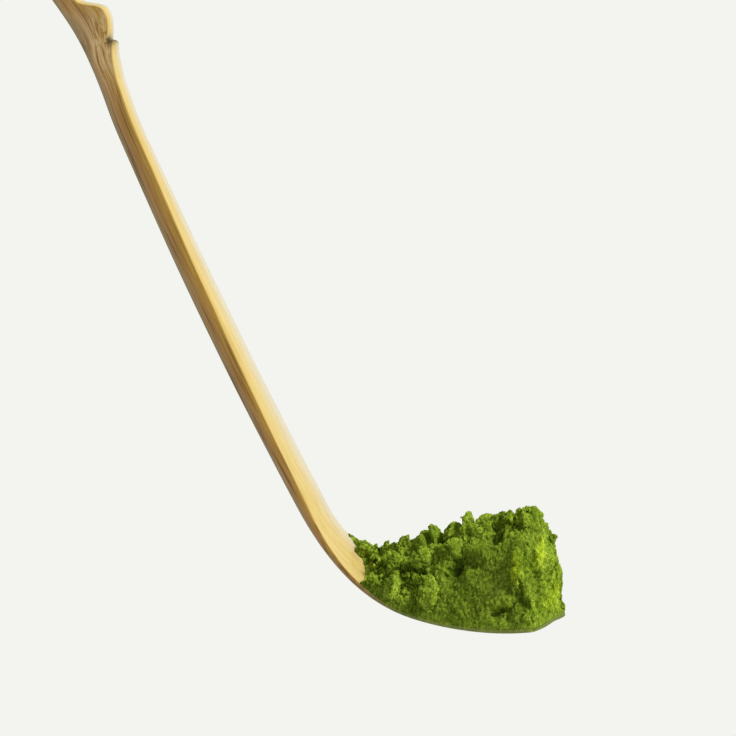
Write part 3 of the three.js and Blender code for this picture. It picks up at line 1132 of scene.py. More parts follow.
@dataclass
class BambooStrip:
    """The whittled strip: a rounded section carried along the bent path."""

    shape: StripShape
    finish: BambooFinish
    face_columns: int = 22
    corner_columns: int = 7
    side_columns: int = 6
    corner_bluntness: float = 1.4
    arris: float = 0.02
    station_step: float = 0.26
    septum_step: float = 0.035
    lip_round: float = 0.16
    cut_round: float = 0.22
    lip_stations: int = 22
    cut_stations: int = 5
    most_shrink: float = 0.9
    wobble: float = 0.035
    wobble_size: float = 7.0
    wobble_seed: int = 11

    def stations(self) -> Array:
        """Distances of the sections: even, with more at the lip, the septum and the cut end.

        Returns:
            The distances from the lip, in rising order.
        """
        shape = self.shape
        length = shape.path.length
        turns = np.linspace(0.0, QUARTER, self.lip_stations)
        even = np.arange(shape.lip_corner, length - self.cut_round, self.station_step)
        reach = shape.septum_width
        near = np.arange(shape.septum - reach, shape.septum + reach, self.septum_step)
        even = even[np.abs(even - shape.septum) > reach]
        lip = shape.lip_corner * (1.0 - np.cos(turns))
        cut = length - self.cut_round * (1.0 - np.sin(np.linspace(0.0, QUARTER, self.cut_stations)))
        return np.unique(np.concatenate([lip, even, near, cut]))

    def _half_ring(self, distance: Array, on_face: bool) -> tuple[Array, Array]:
        """Half of each section, near side to far side.

        The face or back is carried to a blunt bevel at each edge, a superellipse corner, and from
        there down half of the straight side.

        Args:
            distance: Distances of the sections, shape (sections, 1).
            on_face: Whether to give the face half or the back half.

        Returns:
            Side offsets and heights, shape (sections, columns).
        """
        shape = self.shape
        half = shape.half_width(distance)
        bevel = np.minimum(shape.edge_bevel, shape.wall(distance) * shape.bevel_limit)
        inner = np.linspace(self.arris - 1.0, 1.0 - self.arris, self.face_columns - 2)
        flat = np.concatenate([[-1.0], inner, [1.0]])[None, :] * (half - bevel)
        height_at = shape.face_height if on_face else shape.back_height
        rises = height_at(distance, flat)
        if on_face:
            rises = rises + shape.septum_relief(distance, flat)
        sign = 1.0 if on_face else -1.0
        turns = np.linspace(0.0, QUARTER, self.corner_columns)[None, 1:]
        power = 2.0 / self.corner_bluntness
        corner = half - bevel * (1.0 - np.sin(turns) ** power)
        drop = sign * bevel * (1.0 - np.abs(np.cos(turns)) ** power)
        falls = np.concatenate([[self.arris], np.linspace(0.0, 1.0, self.side_columns - 1)[1:]])
        straight = np.broadcast_to(half, (len(half), len(falls)))
        sides, heights = [flat], [rises]
        for edge, hand in ((rises[:, -1:], 1.0), (rises[:, :1], -1.0)):
            rim = hand * half
            middle = (shape.face_height(distance, rim) + shape.back_height(distance, rim)) / 2.0
            fall = lerp(edge - sign * bevel, middle, falls[None, :])
            sides.append(hand * np.concatenate([corner, straight], axis=1))
            heights.append(np.concatenate([edge - drop, fall], axis=1))
        sides = [sides[2][:, ::-1], sides[0], sides[1]]
        heights = [heights[2][:, ::-1], heights[0], heights[1]]
        return np.concatenate(sides, axis=1), np.concatenate(heights, axis=1)

    def _column_shares(self) -> tuple[Array, Array, Array]:
        """Shares of face, bevel and skin of each column of the ring, face half first.

        Returns:
            The three shares, each 0 or 1.
        """
        wall = self.side_columns - 1
        corner = self.corner_columns - 1
        flat = np.pad(np.ones(self.face_columns), wall + corner)
        bevel = np.pad(np.ones(self.face_columns + 2 * corner - 2), wall + 1) - flat
        blank = np.zeros_like(flat)[-2:0:-1]
        face = np.concatenate([flat, blank])
        skin = np.concatenate([np.zeros_like(flat), flat[-2:0:-1]])
        return face, np.concatenate([bevel, blank]), skin

    def build(self) -> Any:
        """Build the strip's mesh.

        Returns:
            The piece that stands for the strip.
        """
        shape = self.shape
        stations = self.stations()
        distance = stations[:, None]
        face_side, face_rise = self._half_ring(distance, True)
        back_side, back_rise = self._half_ring(distance, False)
        side = np.concatenate([face_side, back_side[:, -2:0:-1]], axis=1)
        rise = np.concatenate([face_rise, back_rise[:, -2:0:-1]], axis=1)
        shrink = self._end_rounding(stations)[:, None]
        half = shape.half_width(distance)
        wall = shape.wall(distance)
        drawn_side = side * (1.0 - shrink / half)
        drawn_rise = lerp(rise, wall / 2.0, np.minimum(2.0 * shrink / wall, self.most_shrink))
        points = shape.place(distance, drawn_side, drawn_rise)
        points = points + self._hand_wobble(points)
        columns = face_side.shape[1]
        ring = side.shape[1]
        along = np.arange(columns - 1)
        under = (ring - along) % ring
        first = np.stack([along, under, (under - 1) % ring, along + 1], axis=-1)
        last = (len(stations) - 1) * ring
        last_face = last + np.stack([along, along + 1, (under - 1) % ring, under], axis=-1)
        quads = grid_quads(len(stations), ring, closed=True)[:, ::-1]
        faces = [quads, first[1:-1], last_face[1:-1], first[[0, -1]], last_face[[0, -1]]]
        shares = zip(("face", "bevel", "skin"), self._column_shares())
        marks = {key: np.broadcast_to(share, side.shape).reshape(-1) for key, share in shares}
        marks.update(StripMarks(shape).gather(distance, side, rise))
        piece = make_piece("whittled_strip", points.reshape(-1, 3), self._tidy(faces), marks)
        return dress(piece, self.finish.material(), Body.SCOOP, "bamboo_scoop")

    @staticmethod
    def _tidy(faces: list[Array]) -> list[Array]:
        """Make triangles of the quads that repeat a corner.

        Args:
            faces: Blocks of quads.

        Returns:
            Blocks of quads and of triangles.
        """
        done = []
        for block in faces:
            repeats = (np.sort(block, axis=1)[:, 1:] == np.sort(block, axis=1)[:, :-1]).any(axis=1)
            done.append(block[~repeats])
            thin = block[repeats]
            if len(thin):
                done.append(np.array([list(dict.fromkeys(face)) for face in thin.tolist()]))
        return [block for block in done if len(block)]

    def _end_rounding(self, stations: Array) -> Array:
        """How far the section draws in at the rounded lip and at the broken edge of the cut end.

        Args:
            stations: Distances of the sections.

        Returns:
            What a quarter circle takes off at either end.
        """
        length = self.shape.path.length
        lip = np.clip(1.0 - stations / self.lip_round, 0.0, 1.0)
        cut = np.clip(1.0 - (length - stations) / self.cut_round, 0.0, 1.0)
        round_lip = self.lip_round * (1.0 - np.sqrt(1.0 - lip**2))
        return round_lip + self.cut_round * (1.0 - np.sqrt(1.0 - cut**2))

    def _hand_wobble(self, points: Array) -> Array:
        """Small waves that a knife leaves: smooth noise some millimetres long."""
        return self.wobble * soft_noise(points, self.wobble_size, self.wobble_seed, 3)


# The powder

@dataclass(frozen=True)
class Clod:
    """A clod on the mound: its place on it, and its sizes in millimetres."""

    name: str
    along: float
    across: float
    length: float
    breadth: float
    height: float


@dataclass
class MoundShape:
    """Form of the mound over the bowl, in millimetres, before its crumbling."""

    strip: StripShape
    reach: float = 26.8
    height: float = 12.6
    tail: float = 0.5
    peak: float = 3.1
    end_fall: float = 4.4
    inset: float = 0.02
    rim: float = 0.65
    skew: float = 3.2
    curve: float = 1.75
    recess: float = 1.5
    hollow: float = 1.2
    roundness: float = 2.3
    seat: float = -0.03
    noise_start: Triple = (86.372, 0.0, -106.7007)

    def crest(self, along: Array) -> Array:
        """Height of the crest: a quarter sine to the peak, then a parabola down to the lip.

        Args:
            along: Share of the way from the tail to the lip.

        Returns:
            The height. A power bends the quarter sine a little.
        """
        peak = 1.0 - self.peak / (self.reach - self.inset)
        rise = np.sin(np.clip(along / peak, 0.0, 1.0) * QUARTER) ** self.hollow
        fall = np.clip((along - peak) / (1.0 - peak), 0.0, None) ** 2
        return lerp(self.tail, self.height, rise) - self.end_fall * fall

    def surface(self, along: Array, across: Array, lift: Array | float = 1.0) -> Array:
        """Points of the mound.

        Args:
            along: Share of the way from the tail to the lip.
            across: Share of the way from the near edge to the far edge.
            lift: Share of the mound's height, 0 on the bamboo and 1 on the surface.

        Returns:
            Points over the bowl. The profile across the bowl is a superellipse. The tail slants
            and bows, by the square and the fourth power of the way to the lip.
        """
        side = -np.cos(across * np.pi)
        slant = self.skew * side * (1.0 - along) ** 2
        bow = (self.curve * side**2 - self.recess) * (1.0 - along) ** 4
        distance = lerp(self.reach, self.inset, along) + slant + bow
        offset = side * (self.strip.half_width(distance) - self.inset)
        floor = self.strip.face_height(distance, offset) + self.seat
        points = self.strip.place(distance, offset, floor)
        profile = (1.0 - np.abs(side) ** self.roundness) ** (1.0 / self.roundness)
        points[..., 2] += lift * (self.rim + self.crest(along) * profile)
        return points

    def noise_place(self, points: Array) -> Array:
        """Where noises are read: the points from the lip, plus a start that picks the lumps."""
        return points - self.strip.lip + np.array(self.noise_start)

    def tangent_frame(self, along: float, across: float) -> tuple[Array, Array]:
        """Point of the surface and its directions, from steps of a probe's length.

        Args:
            along: Share of the way from the tail to the lip.
            across: Share of the way from the near edge to the far edge.

        Returns:
            The point, and the unit directions along, across and outwards as rows.
        """
        probe = 1e-3
        steps = np.array([[0.0, 0.0], [probe, 0.0], [0.0, probe]])
        points = self.surface(along + steps[:, 0], across + steps[:, 1])
        lengthwise = unit(points[1] - points[0])
        outward = unit(np.cross(lengthwise, points[2] - points[0]))
        return points[0], np.stack([lengthwise, np.cross(outward, lengthwise), outward])


@dataclass(frozen=True)
class Crumbling:
    """Relief of powder that has caked and broken: cells with their own heights and tilts.

    Attributes:
        size: Size of the lumps, in millimetres.
        step: How much the lumps differ in height, in lump sizes.
        tilt: How much each lump's face leans.
        dome: How much each lump bulges.
        crack: Depth of the crevices between lumps.
        seed: Changes the lumps.
        bend: How much the borders of the lumps wind.
        wind: Size of the windings.
        fine_wind: Size of the finer windings.
        fine_share: Share of the finer windings.
        crack_width: Width of the crevices.
        patch: Size of the patches in which the crevices come and go.
        patch_span: Noise between which they come and go.
        level: Height of the bulge at the seed.
    """

    size: float
    step: float
    tilt: float
    dome: float
    crack: float
    seed: int
    bend: float = 0.3
    wind: float = 0.8
    fine_wind: float = 0.3
    fine_share: float = 0.5
    crack_width: float = 0.08
    patch: float = 1.5
    patch_span: Span = (-0.5, 0.4)
    level: float = 0.4

    def relief(self, points: Array) -> tuple[Array, Array]:
        """Height of the lumps at points.

        Each point belongs to the lump of its nearest seed. The relief is the lump's own height,
        plus a plane that leans through its seed, plus a bulge that falls with the square of the
        distance to the seed, less a crevice that fades from the border between two lumps.

        Args:
            points: Where the lumps are read, in millimetres.

        Returns:
            Relief in millimetres, and the share of crevice, 1 where two lumps meet, which also sets
            the painted shade of the crevices.
        """
        bend = soft_noise(points, self.wind * self.size, self.seed + 1, 3)
        fine = soft_noise(points, self.fine_wind * self.size, self.seed + 2, 3)
        bent = points + self.bend * self.size * (bend + self.fine_share * fine)
        nearest, second, arm, tokens = cell_noise(bent, self.size, self.seed)
        lean = np.sum((tokens - 0.5) * arm, axis=-1)
        crevice_shade = np.exp(-(second - nearest) / self.crack_width)
        patch = soft_noise(points, self.patch * self.size, self.seed + 3)
        crevice_shade = crevice_shade * smoothstep(patch, *self.patch_span)
        bulge = self.dome * (self.level - nearest**2)
        rise = self.step * (tokens[..., 0] - 0.5) + self.tilt * lean + bulge
        return self.size * (rise - self.crack * crevice_shade), crevice_shade


@dataclass(frozen=True)
class Stroke:
    """A swell, a furrow or a painted highlight drawn over the mound.

    Attributes:
        radius: Half its width, in millimetres.
        knots: Its corners: share along, share across, share of the height, and the size there:
        how high the swell or how deep the furrow is, in millimetres, or how strong the painted
        highlight.
    """

    radius: float
    knots: tuple[tuple[float, float, float, float], ...]

    def relief(self, points: Array, shape: MoundShape) -> Array:
        """Size of the stroke at points.

        Args:
            points: Points of the mound.
            shape: Form that the stroke is drawn over.

        Returns:
            The greatest, over the pieces between knots, of a bell curve of the distance to each.
        """
        knots = np.array(self.knots)
        corners, sizes = shape.surface(*knots[:, :3].T), knots[:, 3]
        found = np.zeros(points.shape[:-1])
        for first, last, *ends in zip(corners, corners[1:], sizes, sizes[1:]):
            run = last - first
            share = np.clip((points - first) @ run / (run @ run), 0.0, 1.0)
            reach = np.linalg.norm(points - first - share[..., None] * run, axis=-1)
            found = np.maximum(found, lerp(*ends, share) * bell(reach, self.radius))
        return found


def over_top(radius: float, *knots: Triple) -> Stroke:
    """Stroke over the mound's top, with knots of share along, share across and size."""
    return Stroke(radius, tuple((along, across, 1.0, size) for along, across, size in knots))


def down_end(radius: float, *knots: Triple) -> Stroke:
    """Stroke down the mound's end, with knots of share across, share of the height and size."""
    return Stroke(radius, tuple((1.0, across, lift, size) for across, lift, size in knots))


@dataclass(frozen=True)
class LooseZones:
    """Where the powder lies loose: at the tail and along the crest, not on the pressed flanks."""

    tail_span: Span = (0.40, 0.62)
    edge_span: Span = (0.0, 0.08)
    near_span: Span = (0.22, 0.40)
    far_span: Span = (0.62, 0.8)
    end_span: Span = (0.90, 1.0)
    crest_share: float = 0.9
    crest_power: int = 4
    least: float = 0.12

    def share(self, along: Array, across: Array, lift: Array) -> Array:
        """How loose the powder is.

        Args:
            along: Share of the way to the lip.
            across: Share of the way to the far edge.
            lift: Share of the mound's height.

        Returns:
            The share, with a power of the height that leaves the walls out of the crest.
        """
        tail = (1.0 - smoothstep(along, *self.tail_span)) * smoothstep(across, *self.edge_span)
        crest = smoothstep(across, *self.near_span) * (1.0 - smoothstep(across, *self.far_span))
        crest = crest * (1.0 - smoothstep(along, *self.end_span)) * lift**self.crest_power
        return np.clip(np.maximum(tail, self.crest_share * crest), self.least, 1.0)


@dataclass(frozen=True)
class MoundRelief:
    """Relief of the mound's surface: lumps of three sizes, ridges at its end, and grain."""

    large: Crumbling = Crumbling(2.4, 0.36, 0.9, 0.12, 0.24, 3)
    middle: Crumbling = Crumbling(1.2, 0.34, 0.9, 0.14, 0.26, 5)
    small: Crumbling = Crumbling(0.55, 0.25, 0.7, 0.2, 0.2, 7)
    large_share: float = 0.75
    small_share: Span = (0.2, 0.7)
    rough: float = 0.18
    rough_size: float = 1.3
    rough_seed: int = 15
    grain: float = 0.11
    grain_size: float = 0.32
    grain_seed: int = 9
    ridge_size: float = 1.8
    ridge_seed: int = 13
    ridge_upright: float = 0.3
    ridge_level: float = 0.62
    ridge_span: Span = (0.80, 0.93)
    calm_along: Span = (0.85, 1.0)
    calm_across: Span = (0.7, 0.9)
    settling: float = 0.35
    end_settling: float = 0.25
    end_span: Span = (0.95, 1.0)
    gap_share: float = 0.55
    middle_gap: float = 0.8
    small_gap: Span = (0.2, 0.5)
    # Painted shade laid over the pressed flanks.
    pressed_shade: float = 0.26
    pressed_span: Span = (0.12, 0.6)
    pressed_along: Span = (0.92, 0.99)

    def measure(
        self, place: Array, along: Array, across: Array, loose: Array
    ) -> tuple[Array, Array]:
        """Relief of the surface and its crevices.

        Args:
            place: Where noises are read, in millimetres.
            along: Share of the way to the lip.
            across: Share of the way to the far edge.
            loose: How loose the powder is.

        Returns:
            Relief in millimetres, strongest where the powder is loose, and the share of painted
            shade: the crevices, with more on the pressed flanks.
        """
        large, gap_large = self.large.relief(place)
        middle, gap_middle = self.middle.relief(place)
        small, gap_small = self.small.relief(place)
        rough = self.rough * layered_noise(place, self.rough_size, self.rough_seed, 2)
        grain = self.grain * layered_noise(place, self.grain_size, self.grain_seed, 2)
        upright = place * np.array([1.0, 1.0, self.ridge_upright])
        ridges = 1.0 - np.abs(layered_noise(upright, self.ridge_size, self.ridge_seed, 3))
        relief = loose * (self.large_share * large + middle + rough - self.settling)
        calm = 1.0 - smoothstep(along, *self.calm_along) * smoothstep(across, *self.calm_across)
        relief += calm * (lerp(*self.small_share, loose) * small + grain)
        relief += smoothstep(along, *self.ridge_span) * (ridges - self.ridge_level)
        relief -= self.end_settling * smoothstep(along, *self.end_span)
        # Painted shade: the crevices between lumps darken the colour, and so do the pressed flanks
        # a little.
        crevice_shade = self.gap_share * loose * np.maximum(gap_large, self.middle_gap * gap_middle)
        crevice_shade = np.maximum(crevice_shade, lerp(*self.small_gap, loose) * gap_small)
        pressed = 1.0 - smoothstep(loose, *self.pressed_span)
        pressed = pressed * (1.0 - smoothstep(along, *self.pressed_along))
        return relief, crevice_shade + self.pressed_shade * pressed


@dataclass
class PowderMound:
    """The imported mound: a grid over its form, crumbled in lumps of falling size."""

    shape: MoundShape
    finish: Any
    top_rows: int = 292
    end_rows: int = 84
    wall_rows: int = 6
    foot: float = 0.03
    end_foot: float = 0.003
    columns: int = 220
    under_columns: int = 14
    fine_steps: int = 801
    middle_across: float = 0.5
    widest_along: float = 0.7
    rounding: int = 100
    packed_height: float = 1.3
    furrow_shade: float = 0.3
    furrow_span: Span = (0.2, 1.3)
    foot_shade: float = 0.3
    foot_along: Span = (0.97, 1.0)
    foot_lift: Span = (0.04, 0.25)
    softening: int = 9
    bends: tuple[tuple[float, float, int], ...] = ((0.5, 1.4, 41), (0.22, 0.5, 43))
    zones: LooseZones = LooseZones()
    relief: MoundRelief = MoundRelief()
    swells: tuple[Stroke, ...] = (
        over_top(0.6, (0.115, 0.35, 0.5), (0.135, 0.36, 0.5)),
        over_top(0.7, (0.255, 0.24, 0.6), (0.265, 0.24, 0.6)),
        over_top(1.1, (0.15, 0.56, 0.2), (0.20, 0.56, 0.6), (0.33, 0.55, 0.7), (0.415, 0.54, 0.8)),
        over_top(0.8, (0.10, 0.77, 0.3), (0.135, 0.75, 0.25)),
        over_top(0.9, (0.235, 0.67, 0.35), (0.31, 0.63, 0.4)),
        over_top(0.7, (0.515, 0.14, 0.5), (0.52, 0.16, 0.5)),
        over_top(
            1.3,
            (0.61, 0.43, 0.6),
            (0.72, 0.43, 0.9),
            (0.79, 0.43, 0.55),
            (0.86, 0.44, 0.8),
            (0.93, 0.44, 1.0),
        ),
        over_top(0.8, (0.865, 0.49, 0.7), (0.885, 0.50, 0.8)),
        over_top(0.8, (0.85, 0.05, 0.35), (0.83, 0.04, 0.35)),
        over_top(
            0.75,
            (0.912, 0.25, 0.6),
            (0.92, 0.20, 1.5),
            (0.93, 0.15, 1.6),
            (0.937, 0.11, 1.0),
        ),
        Stroke(
            0.9,
            (
                (0.985, 0.45, 1.0, 0.5),
                (1.0, 0.46, 0.8, 0.9),
                (1.0, 0.49, 0.6, 1.0),
                (1.0, 0.48, 0.38, 1.0),
                (1.0, 0.42, 0.2, 0.6),
            ),
        ),
    )
    furrows: tuple[Stroke, ...] = (
        over_top(1.7, (0.10, 0.60, 0.35), (0.19, 0.58, 0.1)),
        over_top(0.4, (0.03, 0.50, 0.6), (0.07, 0.478, 0.9), (0.11, 0.46, 0.8)),
        over_top(
            0.45,
            (0.345, 0.30, 0.7),
            (0.36, 0.235, 0.9),
            (0.40, 0.20, 0.9),
            (0.45, 0.17, 0.8),
        ),
        over_top(0.6, (0.475, 0.42, 2.0), (0.486, 0.75, 2.8)),
        over_top(
            0.9,
            (0.50, 0.12, 0.6),
            (0.565, 0.15, 1.4),
            (0.61, 0.185, 1.8),
            (0.65, 0.19, 1.2),
            (0.70, 0.18, 0.6),
        ),
        over_top(0.7, (0.58, 0.15, 1.2), (0.59, 0.26, 0.9)),
        over_top(1.3, (0.742, 0.305, 1.6), (0.765, 0.335, 2.0)),
        over_top(1.0, (0.94, 0.30, 0.7), (0.965, 0.26, 0.8)),
        over_top(
            1.7,
            (0.95, 0.27, 0.3),
            (0.985, 0.205, 0.8),
            (0.99, 0.15, 1.2),
            (0.955, 0.09, 1.2),
            (0.915, 0.055, 1.0),
            (0.875, 0.03, 0.7),
        ),
        over_top(0.6, (0.875, 0.035, 0.9), (0.807, 0.02, 0.9)),
        Stroke(
            1.1,
            (
                (0.985, 0.30, 1.0, 0.4),
                (1.0, 0.28, 0.85, 1.0),
                (1.0, 0.27, 0.62, 1.2),
                (1.0, 0.30, 0.42, 0.9),
            ),
        ),
        down_end(1.2, (0.66, 0.72, 0.7), (0.66, 0.48, 0.7)),
        down_end(2.0, (0.88, 0.60, 0.3), (0.88, 0.45, 0.45), (0.88, 0.2, 0.05)),
    )
    # Painted highlights: bright strokes where the key light catches the ridges of the end.
    highlight_strokes: tuple[Stroke, ...] = (
        over_top(0.55, (0.927, 0.22, 0.3), (0.921, 0.155, 1.0), (0.935, 0.12, 0.8)),
        Stroke(0.7, ((0.98, 0.45, 1.0, 0.7), (1.0, 0.36, 1.0, 0.9), (1.0, 0.29, 0.95, 0.5))),
        down_end(0.8, (0.50, 0.66, 0.4), (0.485, 0.40, 1.0), (0.40, 0.2, 0.5)),
        down_end(0.7, (0.757, 0.5, 0.4), (0.73, 0.15, 0.5)),
        over_top(0.8, (0.848, 0.04, 0.5), (0.842, 0.04, 0.5)),
        over_top(0.7, (0.829, 0.40, 0.5), (0.835, 0.37, 0.4)),
    )
    points: Array = field(init=False)
    normals: Array = field(init=False)
    looseness: Array = field(init=False)

    def build(self) -> Any:
        """Build the mound's mesh.

        Returns:
            The piece that stands for the mound.
        """
        along, across, lift = self._parameters()
        base = self.shape.surface(along, across, lift)
        height = base[..., 2] - self.shape.surface(along, across, 0.0)[..., 2]
        free = smoothstep(height, 0.0, self.packed_height)
        base = self._round_off(base)
        drawn = self._drawn(base, self.swells) - self._drawn(base, self.furrows)
        # Painted highlight: how strongly each point of the lit ridges is brightened.
        painted_highlight = np.clip(self._drawn(base, self.highlight_strokes), 0.0, 1.0)
        base = base + self._soft_normals(base) * (free * drawn)[..., None]
        self.normals = self._grid_normals(base)
        self.looseness = self.zones.share(along, across, lift)
        place = self.shape.noise_place(base)
        relief, crevice_shade = self.relief.measure(place, along, across, self.looseness)
        # Painted shade: more in the furrows and at the foot of the end, where shade falls.
        low = smoothstep(along, *self.foot_along) * (1.0 - smoothstep(lift, *self.foot_lift))
        crevice_shade = crevice_shade + self.furrow_shade * smoothstep(-drawn, *self.furrow_span)
        crevice_shade = np.clip(crevice_shade + self.foot_shade * low, 0.0, 1.0)
        self.points = base + self.normals * (relief * free)[..., None]
        under, faces = self._underside(along, across)
        points = np.concatenate([self.points.reshape(-1, 3), under])
        marks = {"crevice_shade": crevice_shade, "painted_highlight": painted_highlight}
        marks = {key: np.pad(values.reshape(-1), (0, len(under))) for key, values in marks.items()}
        piece = make_piece("powder_mound", points, [grid_quads(*along.shape), *faces], marks)
        return dress(piece, self.finish, Body.POWDER, "matcha_heap")

    def _underside(self, along: Array, across: Array) -> tuple[Array, list[Array]]:
        """Close the mound from below, along the trough that it lies in.

        Args:
            along: Share of the way to the lip, for each point of the grid.
            across: Share of the way to the far edge, for each point of the grid.

        Returns:
            The points under the mound, and the faces between them and the grid's border.
        """
        grid = np.arange(along.size).reshape(along.shape)
        inside = np.flatnonzero((along[:, 0] > 0.0) & (along[:, 0] < 1.0))
        first, last = int(inside[0]), int(inside[-1])
        picked = np.linspace(0, along.shape[1] - 1, self.under_columns).round().astype(int)
        rows, shares = along[inside, :1], across[:1, picked[1:-1]]
        points = self.shape.surface(*np.broadcast_arrays(rows, shares), 0.0)
        inner = along.size + np.arange(points.shape[0] * points.shape[1]).reshape(points.shape[:2])
        full = np.concatenate([grid[inside, :1], inner, grid[inside, -1:]], axis=1)
        quads = np.stack([full[:-1, :-1], full[:-1, 1:], full[1:, 1:], full[1:, :-1]], axis=-1)
        faces = [quads.reshape(-1, 4)]
        for part, (near, far) in enumerate(zip(picked[:-1], picked[1:])):
            tail, end = grid[0, near : far + 1], grid[-1, near : far + 1][::-1]
            if near == 0:
                tail = np.concatenate([grid[1:first, 0][::-1], tail])
                end = np.concatenate([end, grid[last + 1 : -1, 0][::-1]])
            if far == along.shape[1] - 1:
                tail = np.concatenate([tail, grid[1:first, -1]])
                end = np.concatenate([grid[last + 1 : -1, -1], end])
            faces.append(np.concatenate([tail, full[0, [part + 1, part]]])[None, :])
            faces.append(np.concatenate([full[-1, [part, part + 1]], end])[None, :])
        return points.reshape(-1, 3), faces

    def _parameters(self) -> tuple[Array, Array, Array]:
        """Parameters of the grid: up the tail, over the top and down the end; wall, top, wall.

        Returns:
            Shares along, across and of the height, for each point of the grid.
        """
        fine = np.linspace(0.0, 1.0, self.fine_steps)
        middle = np.full_like(fine, self.middle_across)
        widest = np.full_like(fine, self.widest_along)
        along = even_along(self.shape.surface(fine, middle), self.top_rows)
        across = even_along(self.shape.surface(widest, fine), self.columns)
        wall = np.linspace(0.0, 1.0, self.wall_rows, endpoint=False)
        wall = np.concatenate([[0.0, self.foot], wall[1:]])
        end = np.linspace(1.0, 0.0, self.end_rows + 1)[1:]
        end = np.concatenate([end[:-1], [self.end_foot, 0.0]])
        row_along = np.concatenate([np.zeros(len(wall)), along, np.ones(len(end))])
        row_lift = np.concatenate([wall, np.ones(len(along)), end])
        column_across = np.concatenate([np.zeros(len(wall)), across, np.ones(len(wall))])
        column_lift = np.concatenate([wall, np.ones(len(across)), wall[::-1]])
        grid_along, grid_across = np.meshgrid(row_along, column_across, indexing="ij")
        return grid_along, grid_across, row_lift[:, None] * column_lift[None, :]

    def _round_off(self, points: Array) -> Array:
        """Round the edges: each inner point moves to the mean of its four neighbours, many times.

        Args:
            points: Points of the grid.

        Returns:
            The rounded points, with the grid's border where it was.
        """
        done = points.copy()
        for _ in range(self.rounding):
            around = done[2:, 1:-1] + done[:-2, 1:-1] + done[1:-1, 2:] + done[1:-1, :-2]
            done[1:-1, 1:-1] = around / 4.0
        return done

    def _drawn(self, points: Array, strokes: tuple[Stroke, ...]) -> Array:
        """Sum of strokes, over points that are bent by noise so that no stroke runs straight.

        Args:
            points: Rounded points of the grid.
            strokes: Strokes to draw.

        Returns:
            The sum of their sizes at each point.
        """
        place, bent = self.shape.noise_place(points), points
        for strength, size, seed in self.bends:
            bent = bent + strength * soft_noise(place, size, seed, 3)
        return sum(stroke.relief(bent, self.shape) for stroke in strokes)

    def _soft_normals(self, points: Array) -> Array:
        """Outward normals, each a mean over a square of the grid, so that strokes don't fold edges.

        Args:
            points: Rounded points of the grid.

        Returns:
            Unit normals. Running sums give the means, twice along each way of the grid.
        """
        normals, reach = self._grid_normals(points), self.softening
        for axis in (0, 1, 0, 1):
            spread = [(reach + 1, reach) if i == axis else (0, 0) for i in range(3)]
            sums = np.cumsum(np.pad(normals, spread, mode="edge"), axis=axis)
            width = 2 * reach + 1
            after = np.split(sums, [width], axis=axis)[1]
            normals = after - np.split(sums, [-width], axis=axis)[0]
        return unit(normals)

    @staticmethod
    def _grid_normals(points: Array) -> Array:
        """Outward normals: row step cross column step.

        Args:
            points: Points of a grid.

        Returns:
            Unit normals.
        """
        rows = np.gradient(points, axis=0)
        columns = np.gradient(points, axis=1)
        return unit(np.cross(rows, columns))


def ball_grid(rings: int, spokes: int) -> tuple[Array, list[Array]]:
    """Directions over a ball, and the faces between them.

    Args:
        rings: Rings of points between the poles.
        spokes: Points in each ring.

    Returns:
        Unit directions, the lower pole first and the upper pole last, and blocks of faces.
    """
    polar = np.linspace(0.0, np.pi, rings + 2)[1:-1, None]
    turn = np.linspace(0.0, 2.0 * np.pi, spokes, endpoint=False)[None, :]
    flat = np.sin(polar)
    parts = flat * np.cos(turn), flat * np.sin(turn), -np.cos(polar)
    ring = np.stack(np.broadcast_arrays(*parts), axis=-1)
    points = np.concatenate([[[0.0, 0.0, -1.0]], ring.reshape(-1, 3), [[0.0, 0.0, 1.0]]])
    quads = grid_quads(rings, spokes, closed=True)[:, ::-1] + 1
    start = np.arange(spokes) + 1
    after = np.roll(start, -1)
    top = (rings - 1) * spokes
    low = np.stack([np.zeros_like(start), after, start], axis=-1)
    high = np.stack([start + top, after + top, np.full_like(start, rings * spokes + 1)], axis=-1)
    return points, [quads, low, high]


def chunk_radius(directions: Array, normals: Array, distances: Array, sharpness: float) -> Array:
    """Radius of a broken chunk: a blunt many-sided solid.

    The solid lies behind planes and inside a ball. In each direction the shares of their pull are
    raised to a power, added, and the sum is brought back by the inverse power, which rounds the
    edges.

    Args:
        directions: Unit directions, shape (points, 3).
        normals: Normals of the planes, shape (..., planes, 3).
        distances: Distances of the planes, shape (..., planes).
        sharpness: The power: a higher one gives sharper edges.

    Returns:
        Radii, shape (..., points).
    """
    ball = 1.15
    pull = np.clip(np.einsum("pk,...nk->...pn", directions, normals), 0.0, None)
    pull = (pull / distances[..., None, :]) ** sharpness
    return (np.sum(pull, axis=-1) + ball**-sharpness) ** (-1.0 / sharpness)


